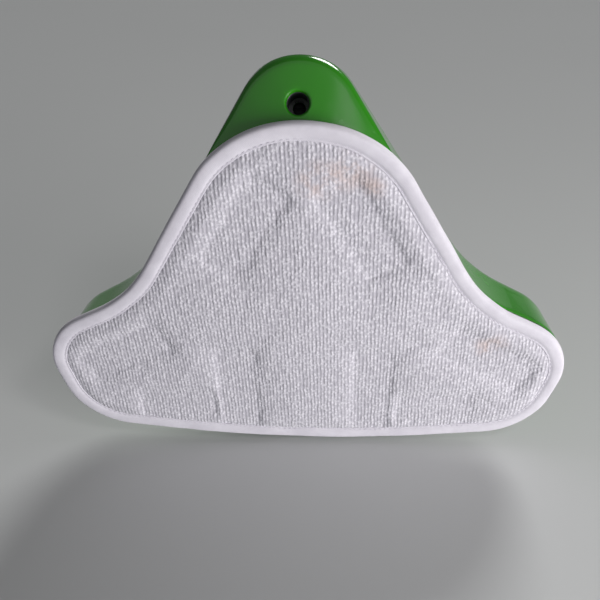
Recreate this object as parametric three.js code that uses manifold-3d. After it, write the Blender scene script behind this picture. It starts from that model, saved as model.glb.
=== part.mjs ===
// Floor head of a steam mop: a delta-shaped moulded housing on a hook-and-loop cleaning pad, with a neck
// that tilts fore and aft and leans to either side. Millimetres, +Z up. The pad's wearing face is on z = 0,
// the nose points towards -Y and the long rear edge faces +Y.
import * as THREE from "three";
import { mergeVertices } from "three/addons/utils/BufferGeometryUtils.js";
import Module from "manifold-3d";

const wasm = await Module();
wasm.setup();

// ---------------------------------------------------------------- driving dimensions
// Plan of the pad: corners of the right half before rounding. Reach is the distance from the centre line,
// and ahead is the distance in front of the rear edge.
const NOSE_APEX_AHEAD = 296;
const PAD_NOSE_RADIUS = 68;
const HOUSING_NOSE_RADIUS = 38;
const NOTCH_REACH = 103.8;
const NOTCH_AHEAD = 119.8;
const NOTCH_RADIUS = 85;
const WING_REACH = 165.8;
const WING_AHEAD = 87.8;
const WING_RADIUS = 41;
const HEEL_TUCK = 15.4; // the heel's corner is this far inside the wing's
const HEEL_REACH = WING_REACH - HEEL_TUCK;
const HEEL_AHEAD = 12.7;
const HEEL_RADIUS = 46;
const REAR_BOW_RUN = 107.4; // from the heel's corner in to where the rear edge runs straight
const REAR_FLAT_REACH = HEEL_REACH - REAR_BOW_RUN;
const REAR_BOW_RADIUS = 600;
const PAD_OVERHANG = 3; // the housing's rim stands this far inside the pad's edge

// Stack of the pad, from the floor up
const GAP = 0.3; // between pieces that touch
const BINDING_WIDTH = 8.5;
const BINDING_TAPE = 1.0;
const BINDING_BOTTOM = 0.6;
const TERRY_TOP = 4.4;
const BACKING_THICKNESS = 0.8;
const EDGE_LAP = 1.5; // the terry and its backing stop this far inside the binding's outer face
const TERRY_BEVEL = 3;

// Housing
const WALL = 2.5;
const WALL_DRAFT = 3.2; // how far the wall leans in over its height
const SHOULDER_WIDTH = 10;
const SHOULDER_HEIGHT = 11;
const CROWN_HEIGHT = 50;
const CROWN_AHEAD = 110;
const NOSE_TOP_HEIGHT = 38;
const REAR_TOP_HEIGHT = 30;
const CROWN_WING_DROP = 7.5;
const CHIN_SETBACK = 69; // from the nose's corner back to where the chin starts
const CHIN_ANGLE = THREE.MathUtils.degToRad(37);
const CHIN_CROWN_RADIUS = 110; // the chin bulges across its width
const WELL_ALONG_CHIN = 10;
const WELL_RADIUS = 5.7;
const WELL_RIM_RADIUS = 2;
const WELL_DEPTH = 16;
const BASE_THICKNESS = 3;
const BASE_FIT = 1;
const BASE_CLEARANCE = 0.1; // where the wall leans in over the plate's edge

// Hook strips: how far out and ahead of a place on the plan their middle is, length and which way they run
const HOOK_WIDTH = 25;
const HOOK_THICKNESS = 2.2;
const NOSE_STRIP_LENGTH = 62;
const NOSE_STRIP_INSIDE = 37.4; // from the flank in to the middle of the nose strip
const NOSE_STRIPS_APART = 11; // between the nearest corners of the pair
const CENTRE_STRIP_REACH = 43;
const CENTRE_STRIP_LENGTH = 68;
const CENTRE_STRIP_CLEAR = 10.5; // from the rear edge to the strip's end
const CENTRE_STRIP_EDGE = CENTRE_STRIP_REACH + HOOK_WIDTH / 2;
const REAR_EDGE_RISE = (Math.max(CENTRE_STRIP_EDGE - REAR_FLAT_REACH, 0) * HEEL_AHEAD) / REAR_BOW_RUN;
const CENTRE_STRIP_AHEAD = REAR_EDGE_RISE + CENTRE_STRIP_CLEAR + CENTRE_STRIP_LENGTH / 2;
const REAR_STRIP_START = 59; // the rear strip runs from here
const REAR_STRIP_TUCK = 41.4; // to this far inside the heel's corner
const REAR_STRIP_LENGTH = HEEL_REACH - REAR_STRIP_TUCK - REAR_STRIP_START;
const REAR_STRIP_REACH = REAR_STRIP_START + REAR_STRIP_LENGTH / 2;
const REAR_STRIP_AHEAD = 30;
const CENTRE_STRIP = { from: "rear", out: CENTRE_STRIP_REACH, ahead: CENTRE_STRIP_AHEAD };
const REAR_STRIP = { from: "rear", out: REAR_STRIP_REACH, ahead: REAR_STRIP_AHEAD };
const HOOK_STRIPS = [
  { place: "nose", from: "flank", out: 0, ahead: 0, length: NOSE_STRIP_LENGTH, along: "flank" },
  { place: "wing", from: "wing", out: -52.8, ahead: -12.8, length: 60, along: "wing" },
  { place: "centre", ...CENTRE_STRIP, length: CENTRE_STRIP_LENGTH, along: "lengthwise" },
  { place: "rear", ...REAR_STRIP, length: REAR_STRIP_LENGTH, along: "crosswise" },
];

// Screws
const SCREW_HEAD_RADIUS = 3.3;
const SCREW_HEAD_HEIGHT = 1.8;
const SCREW_SHANK_RADIUS = 1.3;
const SCREW_SLOT_WIDTH = 0.9;
const SCREW_SLOT_DEPTH = 0.8;
const SCREW_CLEARANCE = 0.1; // between a head and what it is sunk in
const COVER_SCREW_LENGTH = 15;
const COVER_SCREWS = [
  { name: "cover_screw_wing", from: "wing", out: -27.8, ahead: -47.8 },
  { name: "cover_screw_shoulder", from: "notch", out: -29.8, ahead: 2.2 },
];
const REAR_SCREW_AHEAD = 19;
const BOSS_RADIUS = 4.4;
const CRADLE_SCREW_LENGTH = 5.5;
const MANIFOLD_SCREW_LENGTH = 4.4;

// Steam chamber
const CHAMBER_HALF_WIDTH = 20;
const CHAMBER_LEAD = 44; // from the neck's tilt axis to the chamber's rear
const CHAMBER_LENGTH = 48;
const CHAMBER_CORNER = 8;
const CHAMBER_HEIGHT = 12;
const CHAMBER_WALL = 2;
const CHAMBER_FLANGE = 6;
const FLANGE_THICKNESS = 2;
const GASKET_THICKNESS = 1.2;
const STEAM_HOLE_RADIUS = 1.25;
const STEAM_HOLE_REACH = 7;
const STEAM_HOLE_PITCH = 12;
const STEAM_HOLE_ROWS = 4;
const BARB_RADIUS = 2.9;
const BARB_BORE_RADIUS = 1.7;
const BARB_LENGTH = 8;
const HOSE_STRAIGHT = 3; // straight run of hose past the barb's end

// Neck
const TILT_AHEAD = 98;
const TILT_BELOW_CROWN = 15;
const LEAN = THREE.MathUtils.degToRad(52); // how far the neck leans back at its stop
const DRUM_RADIUS = 17;
const DRUM_HALF_WIDTH = 19.5;
const STUB_RADIUS = 13;
const SIDE_PIVOT = 42; // distance from the tilt axis to the side axis
const TONGUE_RADIUS = 11;
const TONGUE_HALF_THICKNESS = 10;
const ARM_RADIUS = 12;
const ARM_THICKNESS = 4.8;
const PIVOT_FIT = 0.4;
const PIN_FIT = 0.3;
const TILT_PIN_RADIUS = 3.5;
const SIDE_PIN_RADIUS = 3.2;
const SOCKET_RADIUS = 19;
const SOCKET_BORE_RADIUS = 15.5;
const SOCKET_FLOOR = 4;
const SOCKET_DEPTH = 40;
const COLLAR_HEIGHT = 4;
const COLLAR_THICKNESS = 2;
const NIPPLE_RADIUS = 4.5;
const NIPPLE_HEIGHT = 14;
const HOSE_BORE_RADIUS = 3.2;
const HOSE_RADIUS = 4.6;
const HOSE_CHANNEL_RADIUS = 5.2;

// Neck opening, bezel and cradle
const OPENING_HALF_WIDTH = 27;
const OPENING_FRONT = 24; // ahead of the tilt axis
const OPENING_REAR = 47; // behind it
const OPENING_CORNER = 12;
const BEZEL_WALL = 2.4;
const BEZEL_LIP = 2.5;
const BEZEL_RISE = 1.6;
const BEZEL_DEPTH = 2;
const TRAY_THICKNESS = 2;
const REST_GAP = 1.5; // between the leaning stub and the bezel's sloped floor
const CHEEK_THICKNESS = 5.7;
const CHEEK_HALF_LENGTH = 9;
const CRADLE_FOOT_THICKNESS = 3;
const CRADLE_FOOT_REACH = 36;
const CRADLE_FOOT_HALF_LENGTH = 14;
const BUSH_WALL = 1.4;

// Latch
const LATCH_HALF_WIDTH = 6.9;
const LATCH_THICKNESS = 4;
const LATCH_LENGTH = 31;
const LATCH_PIVOT_BELOW_MOUTH = 22;
const LATCH_PIN_RADIUS = 1.6;
const LATCH_STANDOFF = 5; // from the socket's wall to the latch's inner face
const TOOTH_HALF_WIDTH = 3.9;
const TOOTH_LENGTH = 5.7;
const TOOTH_REACH = 1.9; // into the bore
const LATCH_CHEEK = 3;
const SPRING_RADIUS = 2.6;
const SPRING_WIRE = 0.45;
const SPRING_TURNS = 3;

// ---------------------------------------------------------------- derived levels
const BACKING_BOTTOM = TERRY_TOP + GAP;
const BACKING_TOP = BACKING_BOTTOM + BACKING_THICKNESS;
const BINDING_TOP = BACKING_TOP + GAP + BINDING_TAPE;
const RIM_HEIGHT = BINDING_TOP + 0.4;
const HOOK_BOTTOM = BACKING_TOP + GAP;
const HOOK_TOP = HOOK_BOTTOM + HOOK_THICKNESS;
const BASE_TOP = RIM_HEIGHT + BASE_THICKNESS;

const CHIN_AHEAD = NOSE_APEX_AHEAD - CHIN_SETBACK;
const CHAMBER_REAR_AHEAD = TILT_AHEAD + CHAMBER_LEAD;
const CHAMBER_FRONT_AHEAD = CHAMBER_REAR_AHEAD + CHAMBER_LENGTH;
const TILT_HEIGHT = CROWN_HEIGHT - TILT_BELOW_CROWN;
const FLANK_ANGLE = Math.atan2(NOTCH_REACH, NOSE_APEX_AHEAD - NOTCH_AHEAD);
const WING_ANGLE = Math.atan2(WING_REACH - NOTCH_REACH, NOTCH_AHEAD - WING_AHEAD);
const QUARTER_TURN = Math.PI / 2;

/** The middle of a nose strip: as far ahead between the flanks as leaves the pair apart. */
function noseStripMiddle() {
  const [across, along] = [Math.cos(FLANK_ANGLE), Math.sin(FLANK_ANGLE)];
  const innerEdge = (NOSE_STRIP_INSIDE + HOOK_WIDTH / 2) * across;
  const run = (NOSE_STRIPS_APART / 2 + innerEdge) / along + NOSE_STRIP_LENGTH / 2;
  const reach = run * along - NOSE_STRIP_INSIDE * across;
  return [reach, NOSE_APEX_AHEAD - run * across - NOSE_STRIP_INSIDE * along];
}

// Places on the plan that strips and screws are set out from, as [reach, ahead]
const PLAN_PLACES = {
  rear: [0, 0],
  flank: noseStripMiddle(),
  notch: [NOTCH_REACH, NOTCH_AHEAD],
  wing: [WING_REACH, WING_AHEAD],
};
const onPlan = ({ from, out, ahead }, sign) => {
  const [reach, start] = PLAN_PLACES[from];
  return [sign * (reach + out), -(start + ahead)];
};

// ---------------------------------------------------------------- materials
const finish = (color, roughness, metalness = 0) =>
  new THREE.MeshStandardMaterial({ color, roughness, metalness });
const GREEN_PLASTIC = finish(0x3f9a22, 0.18);
const DARK_PLASTIC = finish(0x2b2d30, 0.45);
const GREY_PLASTIC = finish(0x8d9094, 0.5);
const STEEL = finish(0xb9bcc0, 0.3, 1);
const BRASS = finish(0xc09a4a, 0.35, 1);
const SILICONE = finish(0xb0562a, 0.6);
const HOOK_TAPE = finish(0xe4e4e2, 0.9);
const TERRY = finish(0xdcd8e0, 0.98);
const LOOP_CLOTH = finish(0xcfccd4, 0.95);
const TAPE_CLOTH = finish(0xe3dfe6, 0.9);

// ---------------------------------------------------------------- solids
const v3 = (x, y, z) => new THREE.Vector3(x, y, z);

/** A closed geometry as a solid for joining and cutting. */
function solid(geometry) {
  geometry.deleteAttribute("normal");
  geometry.deleteAttribute("uv");
  const merged = mergeVertices(geometry, 1e-4);
  return new wasm.Manifold(
    new wasm.Mesh({
      numProp: 3,
      vertProperties: merged.attributes.position.array,
      triVerts: new Uint32Array(merged.index.array),
    }),
  );
}

/** A solid back as a geometry that a mesh can show. */
function geometryOf(body) {
  const mesh = body.getMesh();
  const geometry = new THREE.BufferGeometry();
  geometry.setAttribute("position", new THREE.BufferAttribute(new Float32Array(mesh.vertProperties), 3));
  geometry.setIndex(new THREE.BufferAttribute(new Uint32Array(mesh.triVerts), 1));
  geometry.computeVertexNormals();
  return geometry;
}

/** A round bar, or a cone with endRadius, between two points. */
function rod(radius, start, end, sides = 16, endRadius = radius) {
  const axis = end.clone().sub(start);
  const geometry = new THREE.CylinderGeometry(endRadius, radius, axis.length(), sides);
  geometry.applyQuaternion(new THREE.Quaternion().setFromUnitVectors(v3(0, 1, 0), axis.clone().normalize()));
  geometry.translate(...start.clone().add(end).multiplyScalar(0.5).toArray());
  return solid(geometry);
}

/** A round bar along X through a point, to the same reach on both sides. */
const crossBore = (radius, centre, reach, sides) =>
  rod(radius, centre.clone().sub(v3(reach, 0, 0)), centre.clone().add(v3(reach, 0, 0)), sides);

/** A box between two opposite corners. */
function block(low, high) {
  const size = high.clone().sub(low);
  const geometry = new THREE.BoxGeometry(size.x, size.y, size.z);
  geometry.translate(...low.clone().add(high).multiplyScalar(0.5).toArray());
  return solid(geometry);
}

/** An outline of [x, y] points pulled straight up from one level to another. */
function prism(points, low, high) {
  const shape = new THREE.Shape(points.map((p) => new THREE.Vector2(p.x, p.y)));
  const geometry = new THREE.ExtrudeGeometry(shape, { depth: high - low, bevelEnabled: false });
  geometry.translate(0, 0, low);
  return solid(geometry);
}

/** A side view of [y, z] points pulled across from one x to another. */
function crossPrism(points, left, right) {
  const shape = new THREE.Shape(points.map(([y, z]) => new THREE.Vector2(y, z)));
  const geometry = new THREE.ExtrudeGeometry(shape, { depth: right - left, bevelEnabled: false });
  geometry.applyMatrix4(new THREE.Matrix4().makeBasis(v3(0, 1, 0), v3(0, 0, 1), v3(1, 0, 0)));
  geometry.translate(left, 0, 0);
  return solid(geometry);
}

/** A profile of [radius, height] points turned about the Z axis; it starts and ends there, or closes. */
function turned(profile, sides = 20) {
  const geometry = new THREE.LatheGeometry(profile.map(([r, z]) => new THREE.Vector2(r, z)), sides);
  geometry.rotateX(QUARTER_TURN);
  return solid(geometry);
}

/** A solid moved by a three.js matrix. */
const moved = (body, matrix) => body.transform(matrix.toArray());

/** Triangles between two loops of the same count; a is below or outside b. */
function bridge(triangles, a, b, count) {
  for (let i = 0; i < count; i++) {
    const next = (i + 1) % count;
    triangles.push(a + i, a + next, b + next, a + i, b + next, b + i);
  }
}

/** Loops as one indexed geometry. */
function indexed(points, triangles) {
  const geometry = new THREE.BufferGeometry().setFromPoints(points);
  geometry.setIndex(triangles);
  return geometry;
}

/** Loops stacked from the bottom up, closed flat below and to a point, or flat, above. */
function stacked(loops, peak = null) {
  const count = loops[0].length;
  const points = loops.flat();
  const triangles = [];
  loops.slice(1).forEach((_, k) => bridge(triangles, k * count, (k + 1) * count, count));
  const flat = (loop) => {
    const points2d = loop.map((p) => new THREE.Vector2(p.x, p.y));
    return THREE.ShapeUtils.triangulateShape(points2d, []);
  };
  for (const [a, b, c] of flat(loops[0])) triangles.push(a, c, b);
  const last = (loops.length - 1) * count;
  if (peak) {
    points.push(peak);
    for (let i = 0; i < count; i++) {
      triangles.push(last + i, last + ((i + 1) % count), points.length - 1);
    }
  } else {
    for (const [a, b, c] of flat(loops.at(-1))) triangles.push(last + a, last + b, last + c);
  }
  return solid(indexed(points, triangles));
}

/** Loops joined round a section, the last back to the first; the inside is on the section's left. */
function ringOf(loops) {
  const count = loops[0].length;
  const triangles = [];
  loops.forEach((_, k) => bridge(triangles, k * count, ((k + 1) % loops.length) * count, count));
  return solid(indexed(loops.flat(), triangles));
}

// ---------------------------------------------------------------- outlines
/**
 * A closed outline of straight edges with rounded corners, moved inwards by inset. Corners run anticlockwise
 * and each is { x, y, radius, steps, edge }: steps divides its arc and edge the straight that follows it.
 */
function roundedOutline(corners, inset = 0) {
  const count = corners.length;
  const at = (i) => corners[(i + count) % count];
  const edges = corners.map((corner, i) => {
    const along = new THREE.Vector2(at(i + 1).x - corner.x, at(i + 1).y - corner.y).normalize();
    const inward = new THREE.Vector2(-along.y, along.x);
    return { along, inward, from: new THREE.Vector2(corner.x, corner.y).addScaledVector(inward, inset) };
  });
  const arcs = corners.map((corner, i) => {
    const before = edges[(i + count - 1) % count];
    const after = edges[i];
    const cross = before.along.cross(after.along);
    const reach = after.from.clone().sub(before.from).cross(after.along) / cross;
    const meet = before.from.clone().addScaledVector(before.along, reach);
    const radius = Math.max(corner.radius - Math.sign(cross) * inset, 0.5);
    const turn = Math.acos(THREE.MathUtils.clamp(before.along.dot(after.along), -1, 1));
    const start = meet.clone().addScaledVector(before.along, -radius * Math.tan(turn / 2));
    const centre = start.clone().addScaledVector(before.inward, radius * Math.sign(cross));
    return Array.from({ length: corner.steps + 1 }, (_, k) => {
      const swing = (Math.sign(cross) * turn * k) / corner.steps;
      return start.clone().rotateAround(centre, swing);
    });
  });
  return arcs.flatMap((arc, i) => {
    const next = arcs[(i + 1) % count][0];
    const straight = Array.from({ length: at(i).edge - 1 }, (_, k) =>
      arc.at(-1).clone().lerp(next, (k + 1) / at(i).edge),
    );
    return [...arc, ...straight];
  });
}

/** The delta outline of the pad or the housing, which differ in their nose radius. */
function deltaOutline(noseRadius, inset) {
  const halfBow = Math.atan2(HEEL_AHEAD, REAR_BOW_RUN) / 2;
  const bowRadius = Math.min(REAR_BOW_RADIUS, (REAR_FLAT_REACH - GAP) / Math.tan(halfBow)); // leaves a flat
  const half = [
    { x: NOTCH_REACH, y: -NOTCH_AHEAD, radius: NOTCH_RADIUS, steps: 6, edge: 2, mirrorEdge: 3 },
    { x: WING_REACH, y: -WING_AHEAD, radius: WING_RADIUS, steps: 6, edge: 1, mirrorEdge: 2 },
    { x: HEEL_REACH, y: -HEEL_AHEAD, radius: HEEL_RADIUS, steps: 6, edge: 2, mirrorEdge: 1 },
    { x: REAR_FLAT_REACH, y: 0, radius: bowRadius, steps: 2, edge: 1, mirrorEdge: 2 },
  ];
  const mirrored = half.toReversed().map((c) => ({ ...c, x: -c.x, edge: c.mirrorEdge }));
  const nose = { x: 0, y: -NOSE_APEX_AHEAD, radius: noseRadius, steps: 10, edge: 3 };
  return roundedOutline([nose, ...half, ...mirrored], inset);
}

const padOutline = (inset) => deltaOutline(PAD_NOSE_RADIUS, inset);
const housingOutline = (inset) => deltaOutline(HOUSING_NOSE_RADIUS, PAD_OVERHANG + inset);
const raised = (outline, height) => outline.map((p) => v3(p.x, p.y, height(p)));

/** A rectangle with rounded corners, as an outline. */
function roundedRectangle(left, right, front, rear, radius, inset = 0) {
  const corner = (x, y) => ({ x, y, radius, steps: 4, edge: 2 });
  const corners = [corner(left, front), corner(right, front), corner(right, rear), corner(left, rear)];
  return roundedOutline(corners, inset);
}

const NOSE_TIP = -Math.min(...housingOutline(0).map((p) => p.y));

/** Height of the housing's top face at a place in plan. */
function topHeight(p) {
  const run = -p.y - CROWN_AHEAD;
  const toNose = (CROWN_HEIGHT - NOSE_TOP_HEIGHT) * (run / (NOSE_TIP - CROWN_AHEAD)) ** 2;
  const toRear = (CROWN_HEIGHT - REAR_TOP_HEIGHT) * (run / CROWN_AHEAD) ** 2;
  return CROWN_HEIGHT - (run > 0 ? toNose : toRear) - CROWN_WING_DROP * (p.x / WING_REACH) ** 4;
}

// ---------------------------------------------------------------- shared places
const ARM_INNER = TONGUE_HALF_THICKNESS + PIVOT_FIT;
const ARM_OUTER = ARM_INNER + ARM_THICKNESS;
const TILT_CENTRE = v3(0, -TILT_AHEAD, TILT_HEIGHT);
const NECK_FRAME = new THREE.Matrix4().makeRotationX(-LEAN).setPosition(TILT_CENTRE);
const SOCKET_BASE = SIDE_PIVOT + TONGUE_RADIUS + SOCKET_FLOOR;
const SOCKET_MOUTH = SOCKET_BASE + SOCKET_FLOOR + SOCKET_DEPTH;
const CHIN_ALONG = v3(0, -Math.cos(CHIN_ANGLE), Math.sin(CHIN_ANGLE));
const CHIN_INWARD = v3(0, Math.sin(CHIN_ANGLE), Math.cos(CHIN_ANGLE));
const CHIN_START = v3(0, -CHIN_AHEAD, RIM_HEIGHT);
const WELL_MOUTH = CHIN_START.clone().addScaledVector(CHIN_ALONG, WELL_ALONG_CHIN);
const intoWell = (depth) => WELL_MOUTH.clone().addScaledVector(CHIN_INWARD, depth);
const openingOutline = (inset) =>
  roundedRectangle(
    -OPENING_HALF_WIDTH,
    OPENING_HALF_WIDTH,
    -TILT_AHEAD - OPENING_FRONT,
    -TILT_AHEAD + OPENING_REAR,
    OPENING_CORNER,
    inset,
  );
const upright = (x, y, low, high, radius, sides) => rod(radius, v3(x, y, low), v3(x, y, high), sides);
const SIDES = [
  { side: "left", sign: -1 },
  { side: "right", sign: 1 },
];

// ---------------------------------------------------------------- housing
/** The housing's outer body (skin 0), or the space inside its wall (skin WALL). */
function housingBody(skin) {
  const shoulderSteps = 4;
  const capSteps = 3;
  const rings = [raised(housingOutline(skin), () => RIM_HEIGHT - (skin > 0 ? 1 : 0))];
  for (let k = 0; k <= shoulderSteps; k++) {
    const angle = (QUARTER_TURN * k) / shoulderSteps;
    const inset = skin + WALL_DRAFT + SHOULDER_WIDTH * (1 - Math.cos(angle));
    const below = skin + SHOULDER_HEIGHT * (1 - Math.sin(angle));
    rings.push(raised(housingOutline(inset), (p) => topHeight(p) - below));
  }
  const middle = new THREE.Vector2(0, -(NOTCH_AHEAD + HEEL_AHEAD) / 2);
  const edge = housingOutline(skin + WALL_DRAFT + SHOULDER_WIDTH);
  for (let k = 1; k < capSteps; k++) {
    const inner = edge.map((p) => p.clone().lerp(middle, k / capSteps));
    rings.push(raised(inner, (p) => topHeight(p) - skin));
  }
  const body = stacked(rings, v3(middle.x, middle.y, topHeight(middle) - skin));
  return body.subtract(chinWedge(skin));
}

/** What the crowned, sloping chin takes off under the nose, moved up into the wall by skin. */
function chinWedge(skin) {
  const reach = NOSE_TIP + SOCKET_RADIUS;
  const line = CHIN_START.clone().addScaledVector(CHIN_INWARD, CHIN_CROWN_RADIUS);
  const radius = CHIN_CROWN_RADIUS - skin;
  const crown = rod(
    radius,
    line.clone().addScaledVector(CHIN_ALONG, -reach),
    line.clone().addScaledVector(CHIN_ALONG, reach),
    72,
  );
  const top = CHIN_START.clone().addScaledVector(CHIN_INWARD, CHIN_CROWN_RADIUS / 2);
  const low = top.clone().addScaledVector(CHIN_ALONG, -CHIN_CROWN_RADIUS);
  const high = top.clone().addScaledVector(CHIN_ALONG, CHIN_CROWN_RADIUS);
  const points = [
    [low.y, low.z],
    [high.y, high.z],
    [high.y, -CHIN_CROWN_RADIUS],
    [low.y, -CHIN_CROWN_RADIUS],
  ];
  return crossPrism(points, -CHIN_CROWN_RADIUS, CHIN_CROWN_RADIUS).subtract(crown);
}

/** The places of the screws that hold the cover, as [name, x, y]. */
function coverScrewPlaces() {
  const paired = COVER_SCREWS.flatMap((screw) =>
    SIDES.map(({ side, sign }) => [`${screw.name}_${side}`, ...onPlan(screw, sign)]),
  );
  return [...paired, ["cover_screw_rear", 0, -REAR_SCREW_AHEAD]];
}

function topCover() {
  const outer = housingBody(0);
  let cover = outer.subtract(housingBody(WALL));
  const bosses = coverScrewPlaces().map(([, x, y]) =>
    upright(x, y, BASE_TOP + GAP, CROWN_HEIGHT, BOSS_RADIUS, 14),
  );
  const wellBoss = rod(WELL_RADIUS + WALL, intoWell(WALL / 2), intoWell(WELL_DEPTH + WALL), 20);
  for (const boss of [...bosses, wellBoss]) cover = cover.add(boss.intersect(outer));
  for (const [, x, y] of coverScrewPlaces()) {
    const top = BASE_TOP + COVER_SCREW_LENGTH;
    cover = cover.subtract(upright(x, y, RIM_HEIGHT, top, SCREW_SHANK_RADIUS + GAP, 10));
  }
  const opening = prism(openingOutline(0), BASE_TOP, CROWN_HEIGHT * 2);
  return cover.subtract(wellCutter()).subtract(opening);
}

/** The screw well: a blind hole with a rounded mouth, and the screw's own hole through its floor. */
function wellCutter() {
  const rim = Array.from({ length: 4 }, (_, k) => {
    const angle = (QUARTER_TURN * k) / 3;
    const flare = WELL_RIM_RADIUS * (1 - Math.sin(angle));
    return [WELL_RADIUS + flare, WELL_RIM_RADIUS * (1 - Math.cos(angle))];
  });
  const screw = SCREW_SHANK_RADIUS + GAP;
  const profile = [
    [0, -1],
    [WELL_RADIUS + WELL_RIM_RADIUS, -1],
    ...rim,
    [WELL_RADIUS, WELL_DEPTH],
    [screw, WELL_DEPTH],
    [screw, WELL_DEPTH + 2 * WALL],
    [0, WELL_DEPTH + 2 * WALL],
  ];
  const turn = new THREE.Quaternion().setFromUnitVectors(v3(0, 0, 1), CHIN_INWARD);
  const cutter = turned(profile, 20);
  return moved(cutter, new THREE.Matrix4().compose(WELL_MOUTH, turn, v3(1, 1, 1)));
}

/** A slotted screw along +Z, its head's top at the origin's level below and its shank above. */
function screwBody(shankLength) {
  const head = rod(SCREW_HEAD_RADIUS, v3(0, 0, 0), v3(0, 0, SCREW_HEAD_HEIGHT), 14);
  const shankEnd = SCREW_HEAD_HEIGHT + shankLength;
  const shank = rod(SCREW_SHANK_RADIUS, v3(0, 0, SCREW_HEAD_HEIGHT), v3(0, 0, shankEnd), 10);
  const halfSlot = SCREW_SLOT_WIDTH / 2;
  const slot = block(
    v3(-SCREW_HEAD_RADIUS, -halfSlot, -1),
    v3(SCREW_HEAD_RADIUS, halfSlot, SCREW_SLOT_DEPTH),
  );
  return head.add(shank).subtract(slot);
}

// ---------------------------------------------------------------- base plate and hook strips
/** Where each hook strip lies: its name, its middle and its turn about Z. */
function hookPlaces() {
  const turns = {
    flank: QUARTER_TURN - FLANK_ANGLE,
    wing: QUARTER_TURN - WING_ANGLE,
    lengthwise: QUARTER_TURN,
    crosswise: 0,
  };
  return HOOK_STRIPS.flatMap((strip) =>
    SIDES.map(({ side, sign }) => ({
      name: `hook_strip_${strip.place}_${side}`,
      middle: v3(...onPlan(strip, sign), 0),
      turn: sign * turns[strip.along],
      length: strip.length,
    })),
  );
}

/** A hook strip's outline grown by margin on every side, from one level to another. */
function hookBlock({ middle, turn, length }, margin, low, high) {
  const long = length / 2 + margin;
  const wide = HOOK_WIDTH / 2 + margin;
  const bar = block(v3(-long, -wide, low), v3(long, wide, high));
  return moved(bar, new THREE.Matrix4().makeRotationZ(turn).setPosition(middle));
}

/** The places of the steam holes, as [x, y]. */
function steamHoles() {
  const span = STEAM_HOLE_PITCH * (STEAM_HOLE_ROWS - 1);
  const first = (CHAMBER_FRONT_AHEAD + CHAMBER_REAR_AHEAD - span) / 2;
  const rows = Array.from({ length: STEAM_HOLE_ROWS }, (_, k) => -first - k * STEAM_HOLE_PITCH);
  return rows.flatMap((y) => SIDES.map(({ sign }) => [sign * STEAM_HOLE_REACH, y]));
}

/** The places of the screws that hold the cradle and the chamber lid, as [name, x, y]. */
const CRADLE_SCREW_PLACES = SIDES.flatMap(({ side, sign }) =>
  [["front", -1], ["rear", 1]].map(([end, way]) => [
    `cradle_screw_${end}_${side}`,
    sign * (CRADLE_FOOT_REACH - SCREW_HEAD_RADIUS - 1),
    -TILT_AHEAD + way * (CRADLE_FOOT_HALF_LENGTH - SCREW_HEAD_RADIUS - 1),
  ]),
);
const MANIFOLD_SCREW_PLACES = SIDES.map(({ side, sign }) => [
  `manifold_screw_${side}`,
  sign * (CHAMBER_HALF_WIDTH + CHAMBER_WALL + SCREW_HEAD_RADIUS + 0.6),
  -(CHAMBER_FRONT_AHEAD + CHAMBER_REAR_AHEAD) / 2,
]);

function basePlate() {
  let plate = prism(housingOutline(WALL + BASE_FIT), RIM_HEIGHT, BASE_TOP);
  plate = plate.intersect(housingBody(WALL + BASE_CLEARANCE));
  plate = plate.subtract(chinWedge(WALL + BASE_FIT));
  plate = plate.subtract(crossBore(DRUM_RADIUS + REST_GAP, TILT_CENTRE, DRUM_HALF_WIDTH + REST_GAP, 32));
  plate = plate.add(noseLug());
  for (const place of hookPlaces()) plate = plate.subtract(hookBlock(place, GAP, 0, HOOK_TOP + GAP));
  for (const [x, y] of steamHoles()) {
    plate = plate.subtract(upright(x, y, 0, BASE_TOP + 1, STEAM_HOLE_RADIUS, 8));
  }
  const sunk = RIM_HEIGHT + SCREW_HEAD_HEIGHT + GAP;
  for (const [, x, y] of coverScrewPlaces()) {
    plate = plate.subtract(upright(x, y, 0, sunk, SCREW_HEAD_RADIUS + GAP, 14));
    plate = plate.subtract(upright(x, y, 0, BASE_TOP + 1, SCREW_SHANK_RADIUS + GAP, 10));
  }
  for (const [, x, y] of [...CRADLE_SCREW_PLACES, ...MANIFOLD_SCREW_PLACES]) {
    plate = plate.subtract(upright(x, y, 0, BASE_TOP + 1, SCREW_SHANK_RADIUS + GAP, 10));
  }
  return plate;
}

/** The hooked rib that the nose screw bites into, behind the well. */
function noseLug() {
  const face = intoWell(WELL_DEPTH + WALL + GAP);
  const halfWidth = 6;
  const rise = 5;
  const tip = face.clone().addScaledVector(CHIN_ALONG, WELL_RADIUS);
  const web = 6;
  const root = face.clone().addScaledVector(CHIN_ALONG, -WELL_RADIUS - WALL - web);
  const points = [
    [root.y, BASE_TOP - 1],
    [root.y, root.z],
    [tip.y, tip.z],
    [tip.y + CHIN_INWARD.y * rise, tip.z + CHIN_INWARD.z * rise],
    [root.y + web, root.z + rise],
    [root.y + web, BASE_TOP - 1],
  ];
  const hole = rod(SCREW_SHANK_RADIUS + GAP, intoWell(WELL_DEPTH), intoWell(WELL_DEPTH + 12), 10);
  return crossPrism(points, -halfWidth, halfWidth).intersect(housingBody(WALL + GAP)).subtract(hole);
}

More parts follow.
